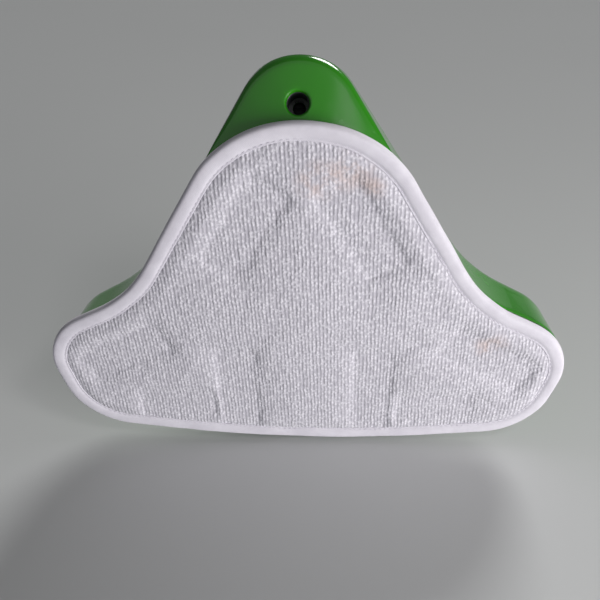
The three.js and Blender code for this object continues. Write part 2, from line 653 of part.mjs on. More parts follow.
// ---------------------------------------------------------------- steam chamber
const chamberOutline = (inset) =>
  roundedRectangle(
    -CHAMBER_HALF_WIDTH,
    CHAMBER_HALF_WIDTH,
    -CHAMBER_FRONT_AHEAD,
    -CHAMBER_REAR_AHEAD,
    CHAMBER_CORNER,
    inset,
  );
const GASKET_BOTTOM = BASE_TOP + GAP;
const GASKET_TOP = GASKET_BOTTOM + GASKET_THICKNESS;
const FLANGE_BOTTOM = GASKET_TOP + GAP;
const LID_TOP = FLANGE_BOTTOM + CHAMBER_HEIGHT;
const BARB_HEIGHT = LID_TOP - CHAMBER_WALL - BARB_RADIUS - 1;

function manifoldGasket() {
  const ring = prism(chamberOutline(-CHAMBER_WALL - 1), GASKET_BOTTOM, GASKET_TOP);
  return ring.subtract(prism(chamberOutline(0), 0, LID_TOP));
}

function manifoldCover() {
  let lid = prism(chamberOutline(-CHAMBER_WALL), FLANGE_BOTTOM, LID_TOP);
  for (const [, x, y] of MANIFOLD_SCREW_PLACES) {
    lid = lid.add(upright(x, y, FLANGE_BOTTOM, FLANGE_BOTTOM + FLANGE_THICKNESS, CHAMBER_FLANGE, 14));
  }
  const rear = -CHAMBER_REAR_AHEAD;
  const barbEnd = rear + CHAMBER_WALL + BARB_LENGTH;
  lid = lid.add(rod(BARB_RADIUS, v3(0, rear, BARB_HEIGHT), v3(0, barbEnd, BARB_HEIGHT), 12));
  lid = lid.subtract(prism(chamberOutline(0), 0, LID_TOP - CHAMBER_WALL));
  for (const [, x, y] of MANIFOLD_SCREW_PLACES) {
    lid = lid.subtract(upright(x, y, 0, LID_TOP, SCREW_SHANK_RADIUS + GAP, 10));
  }
  const boreStart = v3(0, rear - CHAMBER_WALL, BARB_HEIGHT);
  return lid.subtract(rod(BARB_BORE_RADIUS, boreStart, v3(0, barbEnd + 1, BARB_HEIGHT), 10));
}

/** The hose's centre line: over the barb, then up through the knuckle to the nipple. */
function hoseRoute() {
  const onNeck = (distance) => v3(0, 0, distance).applyMatrix4(NECK_FRAME);
  const barbStart = -CHAMBER_REAR_AHEAD + CHAMBER_WALL + GAP;
  return new THREE.CatmullRomCurve3([
    v3(0, barbStart, BARB_HEIGHT),
    v3(0, barbStart + BARB_LENGTH / 2, BARB_HEIGHT),
    v3(0, barbStart + BARB_LENGTH, BARB_HEIGHT),
    v3(0, barbStart + BARB_LENGTH + HOSE_STRAIGHT, BARB_HEIGHT),
    onNeck(-DRUM_RADIUS),
    onNeck(0),
    onNeck(SIDE_PIVOT),
    onNeck(SOCKET_BASE - GAP),
  ]);
}

/** A ring-shaped section swept along a curve. */
function sweptTube(curve, outerRadius, innerRadius, steps, sides) {
  const circle = (radius) =>
    Array.from({ length: sides }, (_, k) => {
      const angle = (2 * Math.PI * k) / sides;
      return new THREE.Vector2(radius * Math.cos(angle), radius * Math.sin(angle));
    });
  const section = new THREE.Shape(circle(outerRadius));
  if (innerRadius > 0) section.holes.push(new THREE.Path(circle(innerRadius).toReversed()));
  return solid(new THREE.ExtrudeGeometry(section, { steps, extrudePath: curve, bevelEnabled: false }));
}

function hoseClip() {
  const start = -CHAMBER_REAR_AHEAD + CHAMBER_WALL + BARB_LENGTH / 2;
  const from = v3(0, start - 2, BARB_HEIGHT);
  const to = v3(0, start + 2, BARB_HEIGHT);
  const outward = v3(0, 1, 0);
  const bore = rod(HOSE_RADIUS + GAP, from.clone().sub(outward), to.clone().add(outward), 16);
  return rod(HOSE_RADIUS + GAP + 1.2, from, to, 16).subtract(bore);
}

// ---------------------------------------------------------------- cradle and bezel
const CHEEK_INNER = DRUM_HALF_WIDTH + PIVOT_FIT * 2;
const CHEEK_OUTER = CHEEK_INNER + CHEEK_THICKNESS;
const BUSH_RADIUS = TILT_PIN_RADIUS + PIN_FIT + BUSH_WALL;

function hingeCradle() {
  const foot = BASE_TOP + GAP;
  const y = -TILT_AHEAD;
  let cradle = block(
    v3(-CRADLE_FOOT_REACH, y - CRADLE_FOOT_HALF_LENGTH, foot),
    v3(CRADLE_FOOT_REACH, y + CRADLE_FOOT_HALF_LENGTH, foot + CRADLE_FOOT_THICKNESS),
  );
  for (const { sign } of SIDES) {
    const [left, right] = [CHEEK_INNER * sign, CHEEK_OUTER * sign].sort((a, b) => a - b);
    const [front, rear] = [y - CHEEK_HALF_LENGTH, y + CHEEK_HALF_LENGTH];
    cradle = cradle.add(block(v3(left, front, foot), v3(right, rear, TILT_HEIGHT)));
    cradle = cradle.add(rod(CHEEK_HALF_LENGTH, v3(left, y, TILT_HEIGHT), v3(right, y, TILT_HEIGHT), 20));
  }
  cradle = cradle.subtract(crossBore(BUSH_RADIUS + GAP, TILT_CENTRE, CHEEK_OUTER + 1, 16));
  for (const [, x, screwY] of CRADLE_SCREW_PLACES) {
    cradle = cradle.subtract(upright(x, screwY, 0, TILT_HEIGHT / 2, SCREW_SHANK_RADIUS + GAP, 10));
  }
  return cradle;
}

/** The lipped ring round the opening, the sloped floor that the neck leans on and the walls beside it. */
function neckBezel() {
  const level = (inset, rise) => raised(openingOutline(inset), (p) => topHeight(p) + rise);
  const ring = ringOf([
    level(GAP + BEZEL_WALL, -WALL - BEZEL_DEPTH),
    level(GAP, -WALL - BEZEL_DEPTH),
    level(GAP, GAP),
    level(-BEZEL_LIP, GAP),
    level(-BEZEL_LIP, BEZEL_RISE),
    level(GAP + BEZEL_WALL, BEZEL_RISE),
  ]);
  const room = prism(openingOutline(GAP), BASE_TOP, CROWN_HEIGHT * 2).intersect(housingBody(0));
  const floorTop = Math.max(STUB_RADIUS, ARM_OUTER) + REST_GAP;
  const besideDrum = Math.asin(floorTop / (DRUM_RADIUS + REST_GAP));
  const floorStart = DRUM_RADIUS * Math.cos(besideDrum) + REST_GAP * 2;
  const inner = OPENING_HALF_WIDTH - GAP - BEZEL_WALL;
  const far = OPENING_REAR * 2;
  const floorUnder = floorTop + TRAY_THICKNESS;
  const floor = block(
    v3(-OPENING_HALF_WIDTH, floorTop, floorStart),
    v3(OPENING_HALF_WIDTH, floorUnder, far),
  );
  const walls = SIDES.map(({ sign }) => {
    const [left, right] = [inner * sign, OPENING_HALF_WIDTH * sign].sort((a, b) => a - b);
    return block(v3(left, -far, floorStart), v3(right, floorUnder, far));
  });
  const tray = [floor, ...walls].map((piece) => moved(piece, NECK_FRAME).intersect(room));
  return tray.reduce((sum, piece) => sum.add(piece), ring);
}

// ---------------------------------------------------------------- neck, in its own frame: +Z along it
function knuckle() {
  const tongueRoot = SIDE_PIVOT - ARM_RADIUS - 1;
  const half = TONGUE_HALF_THICKNESS;
  const along = (low, high) => [v3(0, 0, low), v3(0, 0, high)];
  const stem = rod(STUB_RADIUS, ...along(0, SOCKET_BASE), 28);
  const blade = block(
    v3(-TONGUE_RADIUS, -half, tongueRoot - 2),
    v3(TONGUE_RADIUS, half, SIDE_PIVOT),
  );
  const eye = rod(TONGUE_RADIUS, v3(0, -half, SIDE_PIVOT), v3(0, half, SIDE_PIVOT), 28);
  let body = crossBore(DRUM_RADIUS, v3(0, 0, 0), DRUM_HALF_WIDTH, 32);
  body = body.add(rod(STUB_RADIUS, ...along(0, tongueRoot), 28));
  body = body.add(blade.intersect(stem));
  body = body.add(eye.intersect(stem));
  body = body.subtract(rod(HOSE_CHANNEL_RADIUS, ...along(-DRUM_RADIUS - 1, SOCKET_BASE), 16));
  const flare = along(SIDE_PIVOT + 1, SOCKET_BASE);
  body = body.subtract(rod(HOSE_CHANNEL_RADIUS, ...flare, 16, HOSE_CHANNEL_RADIUS + 4));
  for (const { sign } of SIDES) {
    const tiltInner = v3(sign * (HOSE_CHANNEL_RADIUS + 2.2), 0, 0);
    const tiltOuter = v3(sign * (DRUM_HALF_WIDTH + 1), 0, 0);
    body = body.subtract(rod(TILT_PIN_RADIUS + PIN_FIT, tiltInner, tiltOuter, 16));
    const sideInner = v3(0, sign * (HOSE_CHANNEL_RADIUS - 1), SIDE_PIVOT);
    const sideOuter = v3(0, sign * (half + 1), SIDE_PIVOT);
    body = body.subtract(rod(SIDE_PIN_RADIUS + PIN_FIT, sideInner, sideOuter, 16));
  }
  return body;
}

const LATCH_PIVOT_Z = SOCKET_MOUTH - LATCH_PIVOT_BELOW_MOUTH;
const LATCH_INNER_Y = -(SOCKET_RADIUS + LATCH_STANDOFF);
const LATCH_PIVOT = v3(0, LATCH_INNER_Y - 0.5, LATCH_PIVOT_Z);
const LATCH_LOW = LATCH_PIVOT_Z - LATCH_LENGTH / 2;
const LATCH_HIGH = LATCH_PIVOT_Z + LATCH_LENGTH / 2;
const SPRING_Z = LATCH_LOW + SPRING_RADIUS + 2;
const SPRING_SEAT = -(SOCKET_RADIUS + 0.5);

function neckSocket() {
  let body = rod(SOCKET_RADIUS, v3(0, 0, SOCKET_BASE), v3(0, 0, SOCKET_MOUTH), 36);
  const envelope = rod(SOCKET_RADIUS, v3(0, 0, 0), v3(0, 0, SOCKET_BASE + 1), 36);
  for (const { sign } of SIDES) {
    const [low, high] = [ARM_INNER * sign, ARM_OUTER * sign].sort((a, b) => a - b);
    const arm = block(v3(-ARM_RADIUS, low, SIDE_PIVOT), v3(ARM_RADIUS, high, SOCKET_BASE + 1));
    const eye = rod(ARM_RADIUS, v3(0, low, SIDE_PIVOT), v3(0, high, SIDE_PIVOT), 28);
    body = body.add(arm.add(eye).intersect(envelope));
  }
  const cheekFront = LATCH_INNER_Y - LATCH_THICKNESS + 0.8;
  const cheekNear = LATCH_HALF_WIDTH + PIVOT_FIT;
  for (const { sign } of SIDES) {
    const [left, right] = [cheekNear * sign, (cheekNear + LATCH_CHEEK) * sign].sort((a, b) => a - b);
    const low = v3(left, cheekFront, LATCH_LOW - 2);
    body = body.add(block(low, v3(right, -SOCKET_RADIUS * 0.8, LATCH_HIGH + 2)));
  }
  const seatInner = v3(0, -SOCKET_BORE_RADIUS - 1, SPRING_Z);
  body = body.add(rod(SPRING_RADIUS + 0.6, v3(0, SPRING_SEAT, SPRING_Z), seatInner, 12));
  const boreFloor = v3(0, 0, SOCKET_BASE + SOCKET_FLOOR);
  body = body.subtract(rod(SOCKET_BORE_RADIUS, boreFloor, v3(0, 0, SOCKET_MOUTH + 1), 32));
  body = body.subtract(rod(HOSE_BORE_RADIUS + GAP, v3(0, 0, 0), v3(0, 0, SOCKET_MOUTH), 12));
  const pinReach = v3(0, ARM_OUTER + 1, 0);
  const sideAxis = v3(0, 0, SIDE_PIVOT);
  const pinEnds = [sideAxis.clone().sub(pinReach), sideAxis.clone().add(pinReach)];
  body = body.subtract(rod(SIDE_PIN_RADIUS + PIN_FIT, ...pinEnds, 16));
  body = body.subtract(crossBore(LATCH_PIN_RADIUS + PIN_FIT, LATCH_PIVOT, cheekNear + LATCH_CHEEK + 1, 12));
  const window = block(
    v3(-TOOTH_HALF_WIDTH - PIVOT_FIT, -SOCKET_RADIUS - 1, LATCH_HIGH - TOOTH_LENGTH - 1.5),
    v3(TOOTH_HALF_WIDTH + PIVOT_FIT, -SOCKET_BORE_RADIUS + 2, LATCH_HIGH + 3),
  );
  return body.subtract(window);
}

function socketCollar() {
  const low = SOCKET_MOUTH - COLLAR_HEIGHT + 0.6;
  const inner = SOCKET_RADIUS + GAP;
  const ring = rod(inner + COLLAR_THICKNESS, v3(0, 0, low), v3(0, 0, low + COLLAR_HEIGHT), 36);
  return ring.subtract(rod(inner, v3(0, 0, low - 1), v3(0, 0, low + COLLAR_HEIGHT + 1), 36));
}

/** The steam nipple: a tail inside the hose, a body on the socket's floor with an O-ring groove, a bore. */
function steamNipple() {
  const floor = SOCKET_BASE + SOCKET_FLOOR + GAP;
  const groove = floor + NIPPLE_HEIGHT * 0.6;
  const bore = 1.4;
  return turned([
    [bore, SOCKET_BASE - 3],
    [BARB_RADIUS, SOCKET_BASE - 3],
    [BARB_RADIUS, floor],
    [NIPPLE_RADIUS, floor],
    [NIPPLE_RADIUS, groove],
    [NIPPLE_RADIUS - 1.2, groove],
    [NIPPLE_RADIUS - 1.2, groove + 2.2],
    [NIPPLE_RADIUS, groove + 2.2],
    [NIPPLE_RADIUS, floor + NIPPLE_HEIGHT - 1],
    [NIPPLE_RADIUS - 1, floor + NIPPLE_HEIGHT],
    [bore, floor + NIPPLE_HEIGHT],
    [bore, SOCKET_BASE - 3],
  ]);
}

function nippleRing() {
  const middle = SOCKET_BASE + SOCKET_FLOOR + GAP + NIPPLE_HEIGHT * 0.6 + 1.1;
  const wire = 0.8;
  const geometry = new THREE.TorusGeometry(NIPPLE_RADIUS - 1.2 + GAP / 3 + wire, wire, 8, 20);
  geometry.translate(0, 0, middle);
  return solid(geometry);
}

function releaseLatch() {
  const outerY = LATCH_INNER_Y - LATCH_THICKNESS;
  const half = LATCH_HALF_WIDTH;
  const side = [
    [LATCH_INNER_Y, LATCH_LOW],
    [LATCH_INNER_Y, LATCH_HIGH],
    [outerY + 1.5, LATCH_HIGH],
    [outerY, LATCH_HIGH - 2],
    [outerY + 0.8, LATCH_PIVOT_Z],
    [outerY - 0.6, LATCH_LOW + 3],
    [outerY + 0.8, LATCH_LOW],
  ];
  let latch = crossPrism(side, -half, half);
  latch = latch.add(
    block(
      v3(-TOOTH_HALF_WIDTH, LATCH_INNER_Y - 1, LATCH_HIGH - TOOTH_LENGTH),
      v3(TOOTH_HALF_WIDTH, -SOCKET_BORE_RADIUS + TOOTH_REACH, LATCH_HIGH),
    ),
  );
  latch = latch.add(crossBore(LATCH_PIN_RADIUS * 2, LATCH_PIVOT, half, 16));
  return latch.subtract(crossBore(LATCH_PIN_RADIUS + PIN_FIT, LATCH_PIVOT, half + 1, 12));
}

/** A coil of round wire along -Y, from its seat on the socket to the latch. */
class Coil extends THREE.Curve {
  getPoint(t) {
    const angle = 2 * Math.PI * SPRING_TURNS * t;
    const near = SPRING_SEAT - SPRING_WIRE - GAP;
    const farEnd = LATCH_INNER_Y + SPRING_WIRE + GAP;
    const radius = SPRING_RADIUS - SPRING_WIRE;
    return v3(radius * Math.cos(angle), near + (farEnd - near) * t, SPRING_Z + radius * Math.sin(angle));
  }
}

// ---------------------------------------------------------------- pad
function padBody() {
  const rings = [
    raised(padOutline(BINDING_WIDTH + TERRY_BEVEL + 0.5), () => 0),
    raised(padOutline(BINDING_WIDTH + 1), () => BINDING_BOTTOM),
    raised(padOutline(BINDING_WIDTH + 0.5), () => BINDING_BOTTOM + BINDING_TAPE + GAP),
    raised(padOutline(EDGE_LAP), () => BINDING_BOTTOM + BINDING_TAPE + GAP),
    raised(padOutline(EDGE_LAP), () => TERRY_TOP),
  ];
  return stacked(rings);
}

function padBinding() {
  const level = (inset, height) => raised(padOutline(inset), () => height);
  const wall = EDGE_LAP - GAP;
  return ringOf([
    level(BINDING_WIDTH, BINDING_BOTTOM),
    level(0, BINDING_BOTTOM),
    level(0, BINDING_TOP),
    level(BINDING_WIDTH, BINDING_TOP),
    level(BINDING_WIDTH, BINDING_TOP - BINDING_TAPE),
    level(wall, BINDING_TOP - BINDING_TAPE),
    level(wall, BINDING_BOTTOM + BINDING_TAPE),
    level(BINDING_WIDTH, BINDING_BOTTOM + BINDING_TAPE),
  ]);
}

// ---------------------------------------------------------------- assembly
const cover = topCover();
const head = new THREE.Group();
head.position.y = -cover.boundingBox().min[1] / 2; // the middle of the head's length is over the origin
const neck = new THREE.Group();
neck.position.copy(TILT_CENTRE);
neck.rotation.x = -LEAN;
head.add(neck);

/** Adds a solid to a group as a named mesh. */
function piece(group, name, body, material, place = null) {
  const mesh = new THREE.Mesh(geometryOf(body), material);
  mesh.name = name;
  if (place) place(mesh);
  group.add(mesh);
}

piece(head, "top_cover", cover, GREEN_PLASTIC);
piece(head, "base_plate", basePlate(), DARK_PLASTIC);
for (const [name, x, y] of coverScrewPlaces()) {
  piece(head, name, screwBody(COVER_SCREW_LENGTH), STEEL, (mesh) => {
    mesh.position.set(x, y, RIM_HEIGHT + SCREW_CLEARANCE);
  });
}
piece(head, "nose_screw", screwBody(WALL + 4), STEEL, (mesh) => {
  mesh.position.copy(intoWell(WELL_DEPTH - SCREW_HEAD_HEIGHT - GAP));
  mesh.quaternion.setFromUnitVectors(v3(0, 0, 1), CHIN_INWARD);
});
for (const place of hookPlaces()) {
  piece(head, place.name, hookBlock(place, 0, HOOK_BOTTOM, HOOK_TOP), HOOK_TAPE);
}

piece(head, "manifold_gasket", manifoldGasket(), SILICONE);
piece(head, "manifold_cover", manifoldCover(), GREY_PLASTIC);
const downwards = (x, y, z) => (mesh) => {
  mesh.position.set(x, y, z + SCREW_HEAD_HEIGHT + SCREW_CLEARANCE);
  mesh.rotation.x = Math.PI;
};
for (const [name, x, y] of MANIFOLD_SCREW_PLACES) {
  const seat = FLANGE_BOTTOM + FLANGE_THICKNESS + GAP;
  piece(head, name, screwBody(MANIFOLD_SCREW_LENGTH), STEEL, downwards(x, y, seat));
}
const hose = sweptTube(hoseRoute(), HOSE_RADIUS, HOSE_BORE_RADIUS, 24, 10);
piece(head, "steam_hose", hose, SILICONE);
piece(head, "hose_clip", hoseClip(), STEEL);

piece(head, "neck_bezel", neckBezel(), DARK_PLASTIC);
piece(head, "hinge_cradle", hingeCradle(), DARK_PLASTIC);
for (const [name, x, y] of CRADLE_SCREW_PLACES) {
  const seat = BASE_TOP + GAP + CRADLE_FOOT_THICKNESS + GAP;
  piece(head, name, screwBody(CRADLE_SCREW_LENGTH), STEEL, downwards(x, y, seat));
}
for (const { side, sign } of SIDES) {
  const onAxis = (reach) => v3(sign * reach, -TILT_AHEAD, TILT_HEIGHT);
  const bush = rod(BUSH_RADIUS, onAxis(CHEEK_INNER), onAxis(CHEEK_OUTER), 16);
  const bore = rod(TILT_PIN_RADIUS + PIN_FIT, onAxis(0), onAxis(CHEEK_OUTER + 1), 16);
  piece(head, `tilt_bush_${side}`, bush.subtract(bore), BRASS);
  const pin = rod(TILT_PIN_RADIUS, onAxis(HOSE_CHANNEL_RADIUS + 2.6), onAxis(CHEEK_OUTER), 16);
  piece(head, `tilt_pin_${side}`, pin, STEEL);
}

piece(neck, "knuckle", knuckle(), DARK_PLASTIC);
piece(neck, "neck_socket", neckSocket(), GREY_PLASTIC);
const PIN_SINK = 0.2; // a pin's end lies this far under the face round it
for (const [end, sign] of [["front", -1], ["rear", 1]]) {
  const inner = v3(0, sign * (HOSE_CHANNEL_RADIUS + GAP), SIDE_PIVOT);
  const outer = v3(0, sign * (ARM_OUTER - PIN_SINK), SIDE_PIVOT);
  piece(neck, `side_pin_${end}`, rod(SIDE_PIN_RADIUS, inner, outer, 16), STEEL);
}
piece(neck, "socket_collar", socketCollar(), DARK_PLASTIC);
piece(neck, "steam_nipple", steamNipple(), BRASS);
piece(neck, "nipple_o_ring", nippleRing(), SILICONE);
piece(neck, "release_latch", releaseLatch(), GREEN_PLASTIC);
const latchPinReach = LATCH_HALF_WIDTH + PIVOT_FIT + LATCH_CHEEK - PIN_SINK;
piece(neck, "latch_pin", crossBore(LATCH_PIN_RADIUS, LATCH_PIVOT, latchPinReach, 12), STEEL);
const spring = sweptTube(new Coil(), SPRING_WIRE, 0, SPRING_TURNS * 12, 6);
piece(neck, "latch_spring", spring, STEEL);

piece(head, "pad_body", padBody(), TERRY);
piece(head, "pad_backing", prism(padOutline(EDGE_LAP), BACKING_BOTTOM, BACKING_TOP), LOOP_CLOTH);
piece(head, "pad_binding", padBinding(), TAPE_CLOTH);

export default head;
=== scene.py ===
"""Looks of a steam mop's floor head: glossy delta housing, terry pad with sewn edge tape, and a jointed neck.

Plan sizes are in millimetres, as reach (from the centre line) and ahead (in front of the rear edge).
"""

import logging
import math
from collections.abc import Callable, Iterable, Sequence
from dataclasses import dataclass, field
from enum import Enum

import bmesh
import bpy
from mathutils import Matrix, Vector, noise
from mathutils.kdtree import KDTree

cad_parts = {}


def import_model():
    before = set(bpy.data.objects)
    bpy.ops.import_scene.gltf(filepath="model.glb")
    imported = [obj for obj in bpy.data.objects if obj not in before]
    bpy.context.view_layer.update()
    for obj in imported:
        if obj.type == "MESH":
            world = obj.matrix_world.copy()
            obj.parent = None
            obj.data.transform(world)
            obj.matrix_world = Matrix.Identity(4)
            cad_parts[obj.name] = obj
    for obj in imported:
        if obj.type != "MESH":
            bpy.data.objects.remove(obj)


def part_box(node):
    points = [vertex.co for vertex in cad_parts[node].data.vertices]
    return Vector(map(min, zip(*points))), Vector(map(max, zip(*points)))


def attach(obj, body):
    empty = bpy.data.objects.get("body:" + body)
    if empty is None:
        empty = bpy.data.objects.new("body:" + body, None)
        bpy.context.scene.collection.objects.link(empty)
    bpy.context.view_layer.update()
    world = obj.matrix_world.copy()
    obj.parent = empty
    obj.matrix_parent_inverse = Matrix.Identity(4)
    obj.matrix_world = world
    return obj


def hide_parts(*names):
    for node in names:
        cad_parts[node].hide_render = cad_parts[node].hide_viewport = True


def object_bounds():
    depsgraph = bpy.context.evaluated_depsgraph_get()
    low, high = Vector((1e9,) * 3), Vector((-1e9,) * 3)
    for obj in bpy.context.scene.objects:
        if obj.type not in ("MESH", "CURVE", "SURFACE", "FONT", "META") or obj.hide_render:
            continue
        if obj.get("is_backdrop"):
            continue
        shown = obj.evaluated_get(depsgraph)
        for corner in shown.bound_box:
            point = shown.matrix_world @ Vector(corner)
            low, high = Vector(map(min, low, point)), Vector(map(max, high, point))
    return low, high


LOG = logging.getLogger("floor_head")
MM = 0.001
TURN_STEPS = 64
Colour = tuple[float, float, float]


# ---------------------------------------------------------------- small helpers
def smooth_step(low: float, high: float, value: float) -> float:
    """Rises smoothly from 0 to 1.

    Args:
        low: Where it is 0, which may be above high.
        high: Where it is 1.
        value: The place.

    Returns:
        The share, from 0 to 1.
    """
    share = min(max((value - low) / (high - low), 0.0), 1.0)
    return share * share * (3 - 2 * share)


def put(name: str, mesh: bmesh.types.BMesh, body: str | None = None) -> bpy.types.Object:
    """Makes an object at the origin from a bmesh.

    Args:
        name: The piece's name.
        mesh: The bmesh, in metres, which is freed.
        body: The body it rides on, or None for a tool or the stage.

    Returns:
        The new object.
    """
    data = bpy.data.meshes.new(name)
    mesh.to_mesh(data)
    mesh.free()
    piece = bpy.data.objects.new(name, data)
    bpy.context.scene.collection.objects.link(piece)
    if body:
        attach(piece, body)
    return piece


def shade(piece: bpy.types.Object, angle: float) -> None:
    """Smooth shading with edges kept sharp past an angle in degrees."""
    piece.data.shade_smooth()
    piece.data.set_sharp_from_angle(angle=math.radians(angle))


def settle(piece: bpy.types.Object) -> None:
    """Applies every modifier of a piece to its mesh."""
    graph = bpy.context.evaluated_depsgraph_get()
    made = bpy.data.meshes.new_from_object(piece.evaluated_get(graph))
    piece.modifiers.clear()
    old = piece.data
    piece.data = made
    bpy.data.meshes.remove(old)
    made.name = piece.name


def carve(piece: bpy.types.Object, tool: bpy.types.Object, operation: str) -> None:
    """Joins a tool to a piece or cuts it away, and removes the tool.

    Args:
        piece: The piece, whose mesh changes.
        tool: The solid that is joined or cut away.
        operation: UNION or DIFFERENCE.
    """
    change = piece.modifiers.new(operation.title(), "BOOLEAN")
    change.object = tool
    change.operation = operation
    change.solver = "EXACT"
    settle(piece)
    data = tool.data
    bpy.data.objects.remove(tool)
    bpy.data.meshes.remove(data)


def add_rod(mesh: bmesh.types.BMesh, radius: float, start: Vector, end: Vector) -> None:
    """Adds a closed round bar.

    Args:
        mesh: The bmesh that takes it.
        radius: The bar's radius.
        start: The middle of its first end.
        end: The middle of its other end.
    """
    axis = end - start
    turn = axis.to_track_quat("Z", "Y").to_matrix().to_4x4()
    bmesh.ops.create_cone(
        mesh,
        cap_ends=True,
        segments=48,
        radius1=radius,
        radius2=radius,
        depth=axis.length,
        matrix=Matrix.Translation((start + end) / 2) @ turn,
    )


def add_turned(mesh: bmesh.types.BMesh, profile: Sequence[tuple[float, float]], place: Matrix) -> None:
    """Adds a closed solid turned about its own Z axis.

    Args:
        mesh: The empty bmesh that takes it.
        profile: Points as (radius, height), which start and end on the axis.
        place: Where the turned solid goes.
    """
    verts = [mesh.verts.new((radius, 0, height)) for radius, height in profile]
    edges = [mesh.edges.new(pair) for pair in zip(verts, verts[1:])]
    bmesh.ops.spin(
        mesh,
        geom=verts + edges,
        cent=(0, 0, 0),
        axis=(0, 0, 1),
        angle=math.tau,
        steps=TURN_STEPS,
        use_merge=True,
        use_duplicate=False,
    )
    bmesh.ops.remove_doubles(mesh, verts=mesh.verts[:], dist=1e-6)
    bmesh.ops.recalc_face_normals(mesh, faces=mesh.faces[:])
    bmesh.ops.transform(mesh, matrix=place, verts=mesh.verts[:])


def start_ring(mesh: bmesh.types.BMesh, places: Sequence[Vector]) -> list[bmesh.types.BMVert]:
    """Starts a closed ring of vertices and edges.

    Args:
        mesh: The bmesh that takes it.
        places: Where its vertices go, in order.

    Returns:
        The ring's vertices.
    """
    ring = [mesh.verts.new(place) for place in places]
    for a, b in zip(ring, ring[1:] + ring[:1]):
        mesh.edges.new((a, b))
    return ring


def pull_ring(
    mesh: bmesh.types.BMesh, ring: list[bmesh.types.BMVert], places: Sequence[Vector]
) -> list[bmesh.types.BMVert]:
    """Extrudes a ring once and sets the new ring on places.

    Args:
        mesh: The bmesh that holds the ring.
        ring: The ring's vertices in order.
        places: Where the new vertices go.

    Returns:
        The new ring, in the order of the old one.
    """
    edges = [mesh.edges.get((a, b)) for a, b in zip(ring, ring[1:] + ring[:1])]
    made = bmesh.ops.extrude_edge_only(mesh, edges=edges)["geom"]
    fresh = {g for g in made if isinstance(g, bmesh.types.BMVert)}
    new = [next(e.other_vert(v) for e in v.link_edges if e.other_vert(v) in fresh) for v in ring]
    for vert, place in zip(new, places):
        vert.co = place
    return new


def loft(
    rings: Sequence[Sequence[Vector]], closed: bool = False, peak: Vector | None = None
) -> bmesh.types.BMesh:
    """A surface through rings of the same count.

    Args:
        rings: Rings of points.
        closed: Joins the last ring to the first, as round a section.
        peak: The point that the last ring closes to.

    Returns:
        The bmesh, its faces turned outwards.
    """
    mesh = bmesh.new()
    first = start_ring(mesh, rings[0])
    ring = first
    for places in rings[1:]:
        ring = pull_ring(mesh, ring, places)
    if closed:
        ring = pull_ring(mesh, ring, rings[0])
        bmesh.ops.remove_doubles(mesh, verts=first + ring, dist=1e-7)
    if peak is not None:
        ring = pull_ring(mesh, ring, [peak] * len(ring))
        bmesh.ops.remove_doubles(mesh, verts=ring, dist=1e-7)
    bmesh.ops.recalc_face_normals(mesh, faces=mesh.faces[:])
    return mesh


# ---------------------------------------------------------------- outlines
STRAIGHT_SHARE = 0.55
STRAIGHT_PITCH = 4


@dataclass(frozen=True)
class Corner:
    """A rounded corner of an outline, in millimetres."""

    x: float
    y: float
    radius: float
    pitch: float = 3.0


@dataclass(frozen=True)
class Outline:
    """A closed outline of straight edges and rounded corners, anticlockwise, in millimetres."""

    corners: tuple[Corner, ...]

    def points(self, inset: float = 0.0) -> list[Vector]:
        """Works out the outline's points.

        Args:
            inset: How far in it is moved.

        Returns:
            The points, as many at every inset.
        """
        places = [Vector((c.x, c.y)) for c in self.corners]
        count = len(places)
        along = [(places[(i + 1) % count] - places[i]).normalized() for i in range(count)]
        inward = [Vector((-a.y, a.x)) for a in along]
        arcs: list[list[Vector]] = []
        for i, corner in enumerate(self.corners):
            before, after = along[i - 1], along[i]
            turn_side = before.x * after.y - before.y * after.x
            base = places[i - 1] + inward[i - 1] * inset
            gap = places[i] + inward[i] * inset - base
            reach = (gap.x * after.y - gap.y * after.x) / turn_side
            sign = math.copysign(1, turn_side)
            radius = max(corner.radius - sign * inset, 0.5)
            turn = math.acos(max(-1.0, min(1.0, before.dot(after))))
            start = base + before * (reach - radius * math.tan(turn / 2))
            centre = start + inward[i - 1] * (radius * sign)
            steps = max(6, round(corner.radius * turn / corner.pitch))
            swings = (Matrix.Rotation(sign * turn * k / steps, 2) for k in range(steps + 1))
            arcs.append([centre + swing @ (start - centre) for swing in swings])
        result: list[Vector] = []
        for i, arc in enumerate(arcs):
            nominal = (places[(i + 1) % count] - places[i]).length
            divisions = max(2, round(nominal * STRAIGHT_SHARE / STRAIGHT_PITCH))
            target = arcs[(i + 1) % count][0]
            result += arc
            result += [arc[-1].lerp(target, k / divisions) for k in range(1, divisions)]
        return result


@dataclass(frozen=True)
class Plan:
    """The delta plan that the housing and the pad share, as reach and ahead."""

    apex_ahead: float = 296
    notch: tuple[float, float, float] = (103.8, 119.8, 85)
    wing: tuple[float, float, float] = (165.8, 87.8, 41)
    heel: tuple[float, float, float] = (150.4, 12.7, 46)
    rear: tuple[float, float, float] = (43, 0, 600)

    def outline(self, nose_radius: float) -> Outline:
        """The delta outline with the given nose radius, with y = -ahead."""
        corners = (self.notch, self.wing, self.heel, self.rear)
        half = [Corner(reach, -ahead, radius) for reach, ahead, radius in corners]
        other = [Corner(-c.x, c.y, c.radius) for c in reversed(half)]
        return Outline((Corner(0, -self.apex_ahead, nose_radius, 1.6), *half, *other))


PLAN = Plan()
NOTCH_REACH, NOTCH_AHEAD, _ = PLAN.notch
WING_REACH, WING_AHEAD, _ = PLAN.wing
FLANK_ANGLE = math.atan2(NOTCH_REACH, PLAN.apex_ahead - NOTCH_AHEAD)
WING_ANGLE = math.atan2(WING_REACH - NOTCH_REACH, NOTCH_AHEAD - WING_AHEAD)


